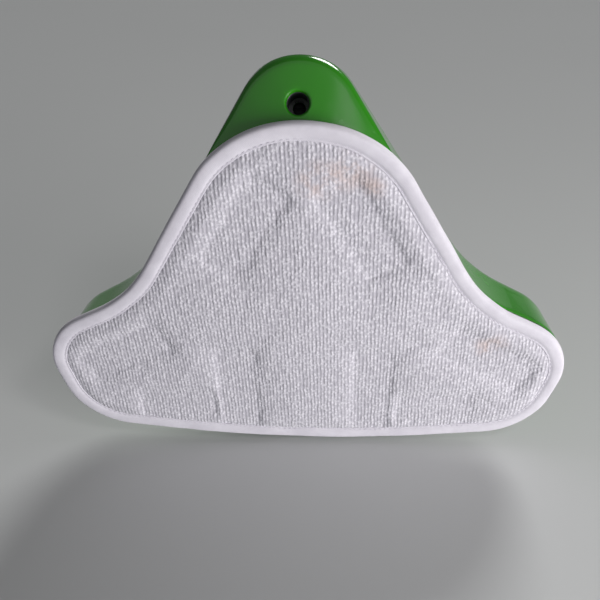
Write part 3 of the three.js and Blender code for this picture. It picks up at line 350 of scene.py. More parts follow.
@dataclass(frozen=True)
class Strip:
    """A hook strip's place in plan: reach, ahead, length and turn from the X axis, for both sides."""

    place: str
    reach: float
    ahead: float
    length: float
    turn: float
    width: float = 25
    corner: float = 4

    def distance(self, x: float, ahead: float) -> float:
        """Measures how far a place in plan is outside the nearer strip of the pair.

        Args:
            x: The place's distance from the centre line, to either side.
            ahead: Its distance in front of the rear edge.

        Returns:
            Millimetres, negative inside.
        """
        dx, dy = abs(x) - self.reach, self.ahead - ahead
        long = abs(dx * math.cos(self.turn) + dy * math.sin(self.turn)) - self.length / 2
        wide = abs(-dx * math.sin(self.turn) + dy * math.cos(self.turn)) - self.width / 2
        if max(long, wide) < -self.corner:
            return max(long, wide)
        return math.hypot(max(long + self.corner, 0), max(wide + self.corner, 0)) - self.corner


STRIPS = (
    Strip("nose", 32, 168, 62, math.pi / 2 - FLANK_ANGLE),
    Strip("wing", 113, 75, 60, math.pi / 2 - WING_ANGLE),
    Strip("centre", 43, 46, 68, math.pi / 2),
    Strip("rear", 84, 30, 50, 0),
)


@dataclass(frozen=True)
class Crease:
    """A shallow fold in the terry between two places in plan, as reach and ahead."""

    start: tuple[float, float]
    end: tuple[float, float]
    depth: float = 0.6
    width: float = 1.6

    def depth_at(self, x: float, ahead: float) -> float:
        """Measures the fold's depth.

        Args:
            x: The place's distance from the centre line.
            ahead: Its distance in front of the rear edge.

        Returns:
            The depth in millimetres.
        """
        line = Vector(self.end) - Vector(self.start)
        away = Vector((x, ahead)) - Vector(self.start)
        share = min(max(away.dot(line) / line.length_squared, 0), 1)
        distance = (away - line * share).length
        fade = math.sin(math.pi * (0.12 + 0.76 * share))
        return self.depth * fade * math.exp(-((distance / self.width) ** 2))


def to_strip(x: float, ahead: float) -> float:
    """How far a place in plan is outside the nearest strip."""
    return min(strip.distance(x, ahead) for strip in STRIPS)


CREASES = (
    Crease((-30, 203), (2, 200), 0.5, 2.4),
    Crease((0, 199), (38, 206), 0.5, 2.4),
    Crease((-34, 213), (6, 215), 0.4, 2.6),
    Crease((4, 219), (38, 214), 0.35, 2.6),
    Crease((-36, 210), (-30, 228), 0.5, 2.2),
    Crease((52, 141), (76, 150), 0.5, 2.4),
    Crease((-48, 139), (-78, 128), 0.4, 2.5),
    Crease((-86, 92), (-62, 84), 0.6, 2.0),
    Crease((86, 94), (60, 83), 0.6, 2.0),
    Crease((-30, 84), (-10, 104), 0.35, 3.0),
    Crease((28, 84), (8, 100), 0.35, 3.0),
    Crease((62, 40), (60, 16), 0.5, 1.6),
    Crease((-60, 40), (-60, 16), 0.5, 1.6),
    Crease((110, 44), (128, 30), 0.6, 2.0),
    Crease((-112, 46), (-130, 34), 0.6, 2.0),
)


# ---------------------------------------------------------------- shader groups
class Links:
    """A node tree with short ways to add nodes and join them."""

    def __init__(self, tree: bpy.types.NodeTree) -> None:
        """Keeps the tree."""
        self.tree = tree

    def node(self, kind: str, **values: object) -> bpy.types.Node:
        """Adds a node and sets its properties."""
        made = self.tree.nodes.new(kind)
        for key, value in values.items():
            setattr(made, key, value)
        return made

    def join(self, source: bpy.types.NodeSocket, target: bpy.types.NodeSocket) -> None:
        """Joins an output to an input."""
        self.tree.links.new(source, target)

    def set(self, node: bpy.types.Node, **inputs: object) -> bpy.types.Node:
        """Sets or joins a node's inputs.

        Args:
            node: The node.
            **inputs: Values or outputs by the input's name, with underscores for spaces.

        Returns:
            The same node.
        """
        for key, value in inputs.items():
            socket = node.inputs[key.replace("_", " ")]
            if isinstance(value, bpy.types.NodeSocket):
                self.join(value, socket)
            else:
                socket.default_value = value
        return node

    def texture(self, kind: str, vector: bpy.types.NodeSocket, **inputs: object) -> bpy.types.Node:
        """Adds a 3-D texture on a vector."""
        return self.set(self.node(f"ShaderNodeTex{kind}"), Vector=vector, **inputs)

    def maths(self, operation: str, a: object, b: object = 0.0) -> bpy.types.NodeSocket:
        """Adds a math node.

        Args:
            operation: The math operation.
            a: Its first value or output.
            b: Its second value or output.

        Returns:
            The result.
        """
        made = self.node("ShaderNodeMath", operation=operation)
        for socket, value in zip(made.inputs, (a, b)):
            if isinstance(value, bpy.types.NodeSocket):
                self.join(value, socket)
            else:
                socket.default_value = value
        return made.outputs[0]

    def ranged(
        self,
        value: bpy.types.NodeSocket,
        low: float,
        high: float,
        to_low: float = 0.0,
        to_high: float = 1.0,
    ) -> bpy.types.NodeSocket:
        """Maps a value smoothly from one range to another.

        Args:
            value: The output that is mapped.
            low: Where it gives to_low.
            high: Where it gives to_high.
            to_low: The result at low.
            to_high: The result at high.

        Returns:
            The mapped value.
        """
        made = self.node("ShaderNodeMapRange", interpolation_type="SMOOTHSTEP")
        self.set(made, Value=value, From_Min=low, From_Max=high, To_Min=to_low, To_Max=to_high)
        return made.outputs["Result"]

    def mixed(self, factor: object, a: object, b: object) -> bpy.types.NodeSocket:
        """Mixes two colours.

        Args:
            factor: The share of b, as a value or an output.
            a: The first colour, as values or an output.
            b: The second colour, as values or an output.

        Returns:
            The mixed colour.
        """
        made = self.node("ShaderNodeMix", data_type="RGBA")
        for index, value in ((0, factor), (6, a), (7, b)):
            if isinstance(value, bpy.types.NodeSocket):
                self.join(value, made.inputs[index])
            elif index == 0:
                made.inputs[index].default_value = value
            else:
                made.inputs[index].default_value = (*value, 1)
        return made.outputs[2]


class Group(Enum):
    """The shader groups that materials share."""

    GRAIN = "moulded_grain"
    WEAR_AND_SHADE = "edge_wear_and_recess_shade"
    PILE = "looped_pile"
    WEAVE = "tape_weave"


def group_tree(
    group: Group, inputs: dict[str, float], outputs: Sequence[str]
) -> tuple[Links, bpy.types.Node, bpy.types.Node]:
    """Makes an empty shader group.

    Args:
        group: Which group it is.
        inputs: Its float inputs' values by name.
        outputs: Its float outputs' names.

    Returns:
        The group's links, its input node and its output node.
    """
    tree = bpy.data.node_groups.new(group.value, "ShaderNodeTree")
    for name, value in inputs.items():
        socket = tree.interface.new_socket(name, in_out="INPUT", socket_type="NodeSocketFloat")
        socket.default_value = value
    for name in outputs:
        tree.interface.new_socket(name, in_out="OUTPUT", socket_type="NodeSocketFloat")
    links = Links(tree)
    return links, links.node("NodeGroupInput"), links.node("NodeGroupOutput")


def scaled_coordinates(links: Links, scale: bpy.types.NodeSocket) -> bpy.types.NodeSocket:
    """Scales the object coordinates.

    Args:
        links: The tree that takes the nodes.
        scale: What the coordinates are multiplied by.

    Returns:
        The scaled coordinates.
    """
    where = links.node("ShaderNodeTexCoord").outputs["Object"]
    made = links.node("ShaderNodeVectorMath", operation="SCALE")
    links.join(where, made.inputs[0])
    links.join(scale, made.inputs["Scale"])
    return made.outputs[0]


def build_grain() -> None:
    """Fine moulded grain with slow mottling and smudges."""
    links, given, result = group_tree(Group.GRAIN, {"Scale": 900.0}, ("Height", "Mottle", "Smudge"))
    where = scaled_coordinates(links, given.outputs["Scale"])
    fine = links.texture("Noise", where, Scale=1.0, Detail=3.0, Roughness=0.6)
    links.join(fine.outputs["Fac"], result.inputs["Height"])
    plain = links.node("ShaderNodeTexCoord").outputs["Object"]
    slow = links.texture("Noise", plain, Scale=14.0, Detail=4.0, Roughness=0.55)
    links.join(links.ranged(slow.outputs["Fac"], 0.3, 0.7), result.inputs["Mottle"])
    smear = links.texture("Noise", plain, Scale=45.0, Detail=6.0, Roughness=0.65, Distortion=1.2)
    links.join(links.ranged(smear.outputs["Fac"], 0.5, 0.72), result.inputs["Smudge"])


def build_wear_and_shade() -> None:
    """Wear where edges stand out and painted shade, in patches, where they are shut in."""
    links, given, result = group_tree(Group.WEAR_AND_SHADE, {"Reach": 0.06}, ("Wear", "RecessShade"))
    point = links.node("ShaderNodeNewGeometry").outputs["Pointiness"]
    where = links.node("ShaderNodeTexCoord").outputs["Object"]
    patch = links.texture("Noise", where, Scale=160.0, Detail=5.0, Roughness=0.7)
    edge = links.ranged(point, 0.51, 0.58)
    worn = links.maths("MULTIPLY", edge, links.ranged(patch.outputs["Fac"], 0.42, 0.62))
    links.join(worn, result.inputs["Wear"])
    # Painted shade: concave places, found by pointiness, are darkened in patches.
    shut = links.ranged(point, 0.49, 0.42)
    recess_shade = links.maths("MULTIPLY", shut, links.ranged(patch.outputs["Fac"], 0.3, 0.6))
    depth = links.maths("MULTIPLY", given.outputs["Reach"], 16.0)
    links.join(links.maths("MULTIPLY", recess_shade, depth), result.inputs["RecessShade"])


def build_pile() -> None:
    """Looped pile: fine ribs along Y, loops of a millimetre and slow clumps."""
    sizes = {"Rib pitch": 0.0022, "Loop size": 0.0021}
    links, given, result = group_tree(Group.PILE, sizes, ("Height", "Clump", "PileShading"))
    where = links.node("ShaderNodeTexCoord").outputs["Object"]
    drift = links.texture("Noise", where, Scale=60.0, Detail=3.0, Roughness=0.6)
    split = links.node("ShaderNodeSeparateXYZ")
    links.join(where, split.inputs[0])
    sway = links.maths("MULTIPLY", links.maths("SUBTRACT", drift.outputs["Fac"], 0.5), 0.0022)
    across = links.maths("ADD", split.outputs["X"], sway)
    phase = links.maths("MULTIPLY", links.maths("DIVIDE", across, given.outputs["Rib pitch"]), math.tau)
    rib = links.maths("MULTIPLY", links.maths("ADD", links.maths("SINE", phase), 1.0), 0.5)
    density = links.maths("DIVIDE", 1.0, given.outputs["Loop size"])
    loops = links.texture("Voronoi", scaled_coordinates(links, density), Scale=1.0, Randomness=0.9)
    bead = links.ranged(loops.outputs["Distance"], 0.75, 0.05)
    fuzz = links.texture("Noise", where, Scale=1600.0, Detail=2.0, Roughness=0.7)
    clump = links.texture("Noise", where, Scale=260.0, Detail=5.0, Roughness=0.7)
    body = links.maths("ADD", links.maths("MULTIPLY", rib, 0.42), links.maths("MULTIPLY", bead, 0.5))
    fine = links.maths("MULTIPLY", fuzz.outputs["Fac"], 0.35)
    rough = links.maths("ADD", fine, links.maths("MULTIPLY", clump.outputs["Fac"], 0.9))
    links.join(links.maths("ADD", body, rough), result.inputs["Height"])
    links.join(links.ranged(clump.outputs["Fac"], 0.3, 0.7), result.inputs["Clump"])
    # Painted shade: this mask is low in the gaps between loops and ribs, with fine random fuzz.
    tuft = links.maths("ADD", links.maths("MULTIPLY", rib, 0.45), links.maths("MULTIPLY", bead, 0.75))
    pile_shading = links.maths("ADD", tuft, links.maths("MULTIPLY", fuzz.outputs["Fac"], 0.4))
    links.join(links.ranged(pile_shading, 0.35, 1.25), result.inputs["PileShading"])


def build_weave() -> None:
    """Plain weave of two crossing sets of threads."""
    links, given, result = group_tree(Group.WEAVE, {"Thread": 0.0005}, ("Height", "Shade"))
    split = links.node("ShaderNodeSeparateXYZ")
    where = links.node("ShaderNodeTexCoord").outputs["Object"]
    links.join(where, split.inputs[0])
    waves = []
    for axis in ("X", "Y"):
        count = links.maths("DIVIDE", split.outputs[axis], given.outputs["Thread"])
        waves.append(links.maths("SINE", links.maths("MULTIPLY", count, math.pi)))
    crossing = links.maths("MULTIPLY", waves[0], waves[1])
    fuzz = links.texture("Noise", where, Scale=900.0, Detail=3.0, Roughness=0.7)
    height = links.maths("ADD", links.maths("MULTIPLY", crossing, 0.4), fuzz.outputs["Fac"])
    links.join(height, result.inputs["Height"])
    slow = links.texture("Noise", where, Scale=70.0, Detail=4.0, Roughness=0.6)
    links.join(links.ranged(slow.outputs["Fac"], 0.3, 0.7), result.inputs["Shade"])


BUILDERS: dict[Group, Callable[[], None]] = {
    Group.GRAIN: build_grain,
    Group.WEAR_AND_SHADE: build_wear_and_shade,
    Group.PILE: build_pile,
    Group.WEAVE: build_weave,
}


# ---------------------------------------------------------------- finishes
class Material(Links):
    """A new material around one Principled shader."""

    def __init__(self, name: str, **constants: object) -> None:
        """Makes the material and sets the shader's own sockets."""
        self.material = bpy.data.materials.new(name)
        self.material.use_nodes = True
        super().__init__(self.material.node_tree)
        self.shader = self.tree.nodes["Principled BSDF"]
        self.set(self.shader, **constants)

    def group(self, group: Group, **inputs: object) -> dict[str, bpy.types.NodeSocket]:
        """Places a shared group, which is built on first use.

        Args:
            group: Which group.
            **inputs: Its inputs' values.

        Returns:
            Its outputs by name.
        """
        if group.value not in bpy.data.node_groups:
            BUILDERS[group]()
        made = self.node("ShaderNodeGroup", node_tree=bpy.data.node_groups[group.value])
        self.set(made, **inputs)
        return {socket.name: socket for socket in made.outputs}

    def bump(self, height: bpy.types.NodeSocket, distance: float) -> None:
        """Bumps the shader's normal by a height, its depth in metres."""
        made = self.set(self.node("ShaderNodeBump"), Height=height, Distance=distance, Strength=1.0)
        self.join(made.outputs["Normal"], self.shader.inputs["Normal"])


@dataclass(frozen=True)
class Plastic:
    """Moulded plastic: colour, worn colour, gloss and grain, with painted shade in its recesses."""

    name: str
    colour: Colour
    worn: Colour
    roughness: float
    grain_depth: float
    coat: float = 0.0

    def material(self) -> bpy.types.Material:
        """Builds the plastic."""
        made = Material(self.name, Coat_Weight=self.coat, Coat_Roughness=0.04, Specular_IOR_Level=0.5)
        grain = made.group(Group.GRAIN, Scale=2600.0)
        wear_and_shade = made.group(Group.WEAR_AND_SHADE, Reach=0.04)
        deep = tuple(c * 0.86 for c in self.colour)
        mottled = made.mixed(grain["Mottle"], deep, self.colour)
        worn = made.mixed(made.maths("MULTIPLY", wear_and_shade["Wear"], 0.45), mottled, self.worn)
        # Painted shade: the colour falls to 0.45 of itself in recesses.
        recess_shaded = made.mixed(wear_and_shade["RecessShade"], worn, tuple(c * 0.45 for c in self.colour))
        made.join(recess_shaded, made.shader.inputs["Base Color"])
        low, high = self.roughness, self.roughness + 0.16
        made.join(made.ranged(grain["Smudge"], 0, 1, low, high), made.shader.inputs["Roughness"])
        made.bump(grain["Height"], self.grain_depth)
        return made.material


@dataclass(frozen=True)
class Metal:
    """Plated or turned metal."""

    name: str
    colour: Colour
    roughness: float

    def material(self) -> bpy.types.Material:
        """Builds the metal."""
        made = Material(self.name, Metallic=1.0)
        grain = made.group(Group.GRAIN, Scale=1800.0)
        dull = tuple(c * 0.72 for c in self.colour)
        made.join(made.mixed(grain["Mottle"], dull, self.colour), made.shader.inputs["Base Color"])
        low, high = self.roughness, self.roughness + 0.2
        made.join(made.ranged(grain["Smudge"], 0, 1, low, high), made.shader.inputs["Roughness"])
        made.bump(grain["Height"], 0.00002)
        return made.material


@dataclass(frozen=True)
class Rubber:
    """Soft silicone rubber."""

    name: str
    colour: Colour

    def material(self) -> bpy.types.Material:
        """Builds the rubber."""
        made = Material(self.name, Specular_IOR_Level=0.35)
        grain = made.group(Group.GRAIN, Scale=900.0)
        dusty = tuple(min(1, c * 1.25 + 0.03) for c in self.colour)
        made.join(made.mixed(grain["Smudge"], self.colour, dusty), made.shader.inputs["Base Color"])
        made.join(made.ranged(grain["Mottle"], 0, 1, 0.5, 0.68), made.shader.inputs["Roughness"])
        made.bump(grain["Height"], 0.00006)
        return made.material


@dataclass(frozen=True)
class Terry:
    """Looped terry with faint stains, as (x, y, radius) in metres."""

    name: str
    colour: Colour
    shadow: Colour
    stain: Colour
    stains: tuple[tuple[float, float, float], ...]

    def material(self) -> bpy.types.Material:
        """Builds the terry."""
        sheen = {"Sheen_Weight": 0.35, "Sheen_Roughness": 0.6}
        made = Material(self.name, Roughness=0.97, Specular_IOR_Level=0.15, **sheen)
        pile = made.group(Group.PILE)
        # Painted shade between the loops and ribs, with random clump tone: the shadow colour fills the gaps.
        clumps = made.maths("MULTIPLY", pile["Clump"], 0.3)
        tuft = made.maths("ADD", clumps, made.maths("MULTIPLY", pile["PileShading"], 0.75))
        colour = made.mixed(tuft, self.shadow, self.colour)
        where = made.node("ShaderNodeTexCoord").outputs["Object"]
        blur = made.texture("Noise", where, Scale=90.0, Detail=5.0, Roughness=0.7)
        for x, y, radius in self.stains:
            offset = made.node("ShaderNodeVectorMath", operation="DISTANCE")
            made.join(where, offset.inputs[0])
            offset.inputs[1].default_value = (x, y, 0)
            near = made.ranged(offset.outputs["Value"], radius, radius * 0.2)
            spot = made.maths("MULTIPLY", near, made.ranged(blur.outputs["Fac"], 0.36, 0.62, 0, 0.6))
            colour = made.mixed(spot, colour, self.stain)
        made.join(colour, made.shader.inputs["Base Color"])
        made.bump(pile["Height"], 0.0005)
        return made.material


@dataclass(frozen=True)
class Cloth:
    """Woven cloth or tape."""

    name: str
    colour: Colour
    shadow: Colour
    thread: float
    depth: float

    def material(self) -> bpy.types.Material:
        """Builds the cloth."""
        sheen = {"Sheen_Weight": 0.3, "Sheen_Roughness": 0.45}
        made = Material(self.name, Roughness=0.86, Specular_IOR_Level=0.25, **sheen)
        weave = made.group(Group.WEAVE, Thread=self.thread)
        made.join(made.mixed(weave["Shade"], self.shadow, self.colour), made.shader.inputs["Base Color"])
        made.bump(weave["Height"], self.depth)
        return made.material


class Finishes(Enum):
    """Every finish by its slot's name."""

    green_gloss = Plastic("green_gloss", (0.026, 0.235, 0.007), (0.08, 0.36, 0.035), 0.16, 0.000004, 0.35)
    dark_plastic = Plastic("dark_plastic", (0.022, 0.024, 0.027), (0.07, 0.072, 0.076), 0.42, 0.00004)
    grey_plastic = Plastic("grey_plastic", (0.24, 0.25, 0.265), (0.34, 0.35, 0.36), 0.4, 0.00003)
    steel = Metal("steel", (0.60, 0.61, 0.63), 0.24)
    black_steel = Metal("black_steel", (0.016, 0.016, 0.017), 0.45)
    brass = Metal("brass", (0.72, 0.52, 0.24), 0.26)
    silicone = Rubber("silicone", (0.42, 0.12, 0.05))
    hook_tape = Cloth("hook_tape", (0.74, 0.74, 0.73), (0.6, 0.6, 0.59), 0.0009, 0.0004)
    terry = Terry(
        "terry",
        (0.80, 0.775, 0.84),
        (0.47, 0.45, 0.51),
        (0.62, 0.47, 0.43),
        ((0.010, -0.072, 0.016), (0.026, -0.077, 0.016), (0.038, -0.068, 0.009), (0.112, 0.042, 0.014)),
    )
    loop_cloth = Cloth("loop_cloth", (0.62, 0.60, 0.66), (0.52, 0.50, 0.56), 0.0007, 0.0003)
    binding_tape = Cloth("binding_tape", (0.76, 0.73, 0.80), (0.68, 0.65, 0.72), 0.00045, 0.00009)
    thread = Cloth("thread", (0.66, 0.63, 0.70), (0.55, 0.52, 0.60), 0.0003, 0.00008)


def dress(piece: bpy.types.Object, finish: Finishes, slot: str | None = None) -> bpy.types.Object:
    """Gives a piece its finish.

    Args:
        piece: The piece.
        finish: Its finish.
        slot: The slot, where it isn't the finish's own name.

    Returns:
        The same piece.
    """
    name = f"{finish.name}_finish"
    found = bpy.data.materials.get(name) or finish.value.material()
    found.name = name
    piece.data.materials.clear()
    piece.data.materials.append(found)
    slot or finish.name
    LOG.info("%s: %d faces, %s", piece.name, len(piece.data.polygons), finish.name)
    return piece


def refined(
    node: str, body: str, finish: Finishes, bevel: float = 0.4, angle: float = 30
) -> bpy.types.Object:
    """Stands in for a plain node with the same shape, its edges rounded off and its round faces smooth.

    Args:
        node: The node's name.
        body: The body it is on.
        finish: Its finish.
        bevel: The rounding in millimetres.
        angle: Edges past this angle in degrees are rounded.

    Returns:
        The new piece.
    """
    source = bpy.data.objects[node]
    mesh = bmesh.new()
    mesh.from_mesh(source.data)
    bmesh.ops.remove_doubles(mesh, verts=mesh.verts[:], dist=2e-6)
    bmesh.ops.dissolve_limit(mesh, angle_limit=math.radians(0.6), verts=mesh.verts[:], edges=mesh.edges[:])
    sharp = [e for e in mesh.edges if e.is_manifold and e.calc_face_angle(0) > math.radians(angle)]
    bmesh.ops.bevel(
        mesh,
        geom=sharp,
        offset=bevel * MM,
        offset_type="OFFSET",
        segments=2,
        profile=0.5,
        affect="EDGES",
        clamp_overlap=True,
        material=-1,
    )
    piece = put(f"{node}_moulding", mesh, body)
    shade(piece, 34)
    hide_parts(node)
    return dress(piece, finish)


# ---------------------------------------------------------------- housing
@dataclass
class Housing:
    """The green cover with its crowned chin, the screw well and the bezel's rim."""

    rear: float
    nose_radius: float = 38
    overhang: float = 3
    rim: float = 7.2
    wall: float = 2.3
    draft: float = 3.2
    shoulder: tuple[float, float] = (10, 11)
    crown: float = 50
    crown_ahead: float = 110
    drops: tuple[float, float, float] = (12, 20, 7.5)
    chin_ahead: float = 227
    chin_angle: float = math.radians(37)
    chin_crown: float = 110
    chin_round: float = 4.6
    rim_round: float = 1.3
    well_along: float = 10
    well_radius: float = 5.7
    well_rim: float = 2
    well_depth: float = 16
    chin_reach: float = 95
    wall_steps: int = 24
    shoulder_steps: int = 16
    under_steps: int = 60
    lower_points: int = 13
    bend_steps: int = 8
    upper_points: int = 15
    cap_rings: int = 44
    opening: tuple[float, float, float, float] = (27, 122, 51, 12)
    outline: Outline = field(init=False)
    nose_tip: float = field(init=False)

    def __post_init__(self) -> None:
        """Works out the outline and how far its nose reaches."""
        self.outline = PLAN.outline(self.nose_radius)
        self.nose_tip = -min(p.y for p in self.outline.points(self.overhang))

    def top(self, x: float, y: float) -> float:
        """Works out the height of the top face.

        Args:
            x: The place's distance from the centre line.
            y: The place behind the rear edge, negative ahead.

        Returns:
            The height in millimetres.
        """
        run = -y - self.crown_ahead
        to_nose, to_rear, to_wing = self.drops
        if run > 0:
            fall = to_nose * (run / (self.nose_tip - self.crown_ahead)) ** 2
        else:
            fall = to_rear * (run / self.crown_ahead) ** 2
        return self.crown - fall - to_wing * (x / WING_REACH) ** 4

    def chin(self, x: float, y: float) -> float:
        """Height of the crowned chin over a place in plan, and none outside the nose."""
        if abs(x) > self.chin_reach:
            return -math.inf
        bulge = self.chin_crown - math.sqrt(self.chin_crown**2 - x * x)
        return self.rim + (-y - self.chin_ahead) * math.tan(self.chin_angle) + bulge / math.cos(self.chin_angle)

    def column(self, outlines: dict[int, list[Vector]], index: int) -> list[Vector]:
        """One section of the cover at a place on its outline, from under the chin to the top's edge.

        Args:
            outlines: Outlines by their inset in tenths of a millimetre.
            index: The place on the outline.

        Returns:
            The section's points, the same number at every place.
        """
        insets = sorted(outlines)

        def plan(inset: float) -> Vector:
            """The place in plan at an inset."""
            key = min(max(inset * 10, insets[0]), insets[-1])
            low = max(k for k in insets if k <= key)
            high = min(k for k in insets if k >= key)
            share = 0 if high == low else (key - low) / (high - low)
            return outlines[low][index].lerp(outlines[high][index], share)

        foot = plan(0)
        profile = self.wall_profile(plan)
        above = [p.z - max(self.chin(p.x, p.y), self.rim) for p in profile]
        start = next((i for i, gap in enumerate(above) if gap > 0), 1)
        low, high = profile[start - 1], profile[start]
        span = above[start] - above[start - 1]
        share = min(max(-above[start - 1] / span, 0), 1) if span > 1e-9 else 0
        corner = low.lerp(high, share)
        rise = smooth_step(self.rim, self.rim + 9, corner.z)
        reach = self.rim_round + (self.chin_round - self.rim_round) * rise
        upper = walk([corner, *profile[start:]], reach)
        inset = (corner.xy - foot.xy).length
        under = [corner]
        for k in range(1, self.under_steps + 1):
            run = k / 2
            place = plan(inset + run)
            height = max(self.chin(place.x, place.y), self.rim - 1.5 * smooth_step(0, 6, run))
            under.append(Vector((place.x, place.y, height)))
        lower = walk(under, reach)
        bend = []
        for k in range(1, self.bend_steps):
            share = k / self.bend_steps
            ends = lower[0] * (1 - share) ** 2 + upper[0] * share**2
            bend.append(ends + corner * (2 * share * (1 - share)))
        return [*reversed(spaced(lower, self.lower_points)), *bend, *spaced(upper, self.upper_points)]

    def wall_profile(self, plan: Callable[[float], Vector]) -> list[Vector]:
        """Works out the leaning wall and the rounded shoulder at one place of the outline.

        Args:
            plan: Gives the place in plan at an inset.

        Returns:
            The profile's points, from the rim up.
        """
        wide, tall = self.shoulder
        foot, ankle = plan(0), plan(self.draft)
        rise = self.top(ankle.x, ankle.y) - tall - self.rim
        profile: list[Vector] = []
        for k in range(self.wall_steps + 1):
            share = k / self.wall_steps
            place = foot.lerp(ankle, share)
            profile.append(Vector((place.x, place.y, self.rim + rise * share)))
        for k in range(1, self.shoulder_steps + 1):
            angle = math.pi / 2 * k / self.shoulder_steps
            place = plan(self.draft + wide * (1 - math.cos(angle)))
            drop = tall * (1 - math.sin(angle))
            profile.append(Vector((place.x, place.y, self.top(place.x, place.y) - drop)))
        return profile

    def shell(self) -> bpy.types.Object:
        """The cover's wall, with its well and neck opening cut."""
        keys = [*range(0, 40, 8), *range(40, 121, 10), 132, *range(150, 331, 30)]
        outlines = {key: self.outline.points(self.overhang + key / 10) for key in keys}
        columns = [self.column(outlines, index) for index in range(len(outlines[0]))]
        rings = [[column[k] for column in columns] for k in range(len(columns[0]))]
        middle = Vector((0, -(NOTCH_AHEAD + PLAN.heel[1]) / 2))
        edge = rings[-1]
        for k in range(1, self.cap_rings):
            inner = [place.xy.lerp(middle, k / self.cap_rings) for place in edge]
            rings.append([Vector((*point, self.top(*point))) for point in inner])
        peak = Vector((*middle, self.top(*middle)))
        mesh = loft(rings, peak=peak)
        bmesh.ops.bisect_plane(
            mesh,
            geom=mesh.verts[:] + mesh.edges[:] + mesh.faces[:],
            dist=1e-5,
            plane_co=(0, 0, self.rim + 0.03),
            plane_no=(0, 0, 1),
            clear_inner=True,
        )
        self.to_frame(mesh)
        shell = put("housing_shell", mesh, "head")
        wall = shell.modifiers.new("Wall", "SOLIDIFY")
        wall.thickness = self.wall * MM
        wall.offset = -1
        wall.use_even_offset = True
        settle(shell)
        carve(shell, self.well_boss(), "UNION")
        carve(shell, self.well_cutter(), "DIFFERENCE")
        carve(shell, self.opening_cutter(), "DIFFERENCE")
        shade(shell, 40)
        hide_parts("top_cover")
        return dress(shell, Finishes.green_gloss)

    def to_frame(self, mesh: bmesh.types.BMesh) -> None:
        """Moves a bmesh from millimetres in plan to metres in the frame."""
        place = Matrix.Translation((0, self.rear, 0)) @ Matrix.Scale(MM, 4)
        bmesh.ops.transform(mesh, matrix=place, verts=mesh.verts[:])

    def into_well(self, depth: float) -> Vector:
        """A point on the well's axis at a depth."""
        along = Vector((0, -math.cos(self.chin_angle), math.sin(self.chin_angle)))
        inward = Vector((0, math.sin(self.chin_angle), math.cos(self.chin_angle)))
        return Vector((0, -self.chin_ahead, self.rim)) + along * self.well_along + inward * depth

    def well_boss(self) -> bpy.types.Object:
        """The boss behind the chin that the well is cut into."""
        mesh = bmesh.new()
        radius = self.well_radius + 2.5
        add_rod(mesh, radius, self.into_well(1.3), self.into_well(self.well_depth + 2.5))
        self.to_frame(mesh)
        return put("well_boss", mesh)

    def well_cutter(self) -> bpy.types.Object:
        """The well's own shape: a rounded mouth, a straight wall and the screw's hole."""
        lip_steps = 8
        angles = (math.pi / 2 * k / lip_steps for k in range(lip_steps + 1))
        flare = [(self.well_rim * (1 - math.sin(a)), self.well_rim * (1 - math.cos(a))) for a in angles]
        lip = [(self.well_radius + out, depth) for out, depth in flare]
        mouth = (self.well_radius + self.well_rim, -2.0)
        floor = self.well_depth
        screw_hole = [(1.6, floor), (1.6, floor + 6), (0, floor + 6)]
        profile = [(0, -2.0), mouth, *lip, (self.well_radius, floor), *screw_hole]
        turn = Vector((0, 0, 1)).rotation_difference(self.into_well(1) - self.into_well(0))
        mesh = bmesh.new()
        add_turned(mesh, profile, Matrix.Translation(self.into_well(0)) @ turn.to_matrix().to_4x4())
        self.to_frame(mesh)
        return put("well_cutter", mesh)

    def opening_outline(self) -> Outline:
        """The neck opening's outline."""
        half, front, rear, radius = self.opening
        places = ((-half, -front), (half, -front), (half, -rear), (-half, -rear))
        return Outline(tuple(Corner(x, y, radius, 1.5) for x, y in places))

    def opening_cutter(self) -> bpy.types.Object:
        """A prism through the top at the neck opening."""
        mesh = bmesh.new()
        low = [Vector((*p, 12)) for p in self.opening_outline().points()]
        ring = start_ring(mesh, low)
        bmesh.ops.contextual_create(mesh, geom=ring)
        face = mesh.faces[:]
        made = bmesh.ops.extrude_face_region(mesh, geom=face)["geom"]
        lifted = [g for g in made if isinstance(g, bmesh.types.BMVert)]
        bmesh.ops.translate(mesh, verts=lifted, vec=(0, 0, 80))
        bmesh.ops.recalc_face_normals(mesh, faces=mesh.faces[:])
        self.to_frame(mesh)
        return put("opening_cutter", mesh)

    def bezel_rim(self) -> bpy.types.Object:
        """The rounded lip round the neck opening."""
        outline = self.opening_outline()
        under = ((2.7, -1.5), (0.3, -1.5), (0.3, 0.15), (-2.6, 0.15))
        over = ((-2.9, 0.7), (-2.5, 1.5), (-1.5, 2.0), (0.6, 2.1), (1.9, 1.8), (2.6, 1.0))
        rings = []
        for inset, rise in under + over:
            points = outline.points(inset)
            rings.append([Vector((p.x, p.y, self.top(p.x, p.y) + rise)) for p in points])
        mesh = loft(rings, closed=True)
        self.to_frame(mesh)
        rim = put("bezel_rim", mesh, "head")
        rounding = rim.modifiers.new("Smooth", "SUBSURF")
        rounding.levels = rounding.render_levels = 1
        settle(rim)
        shade(rim, 60)
        return dress(rim, Finishes.dark_plastic)

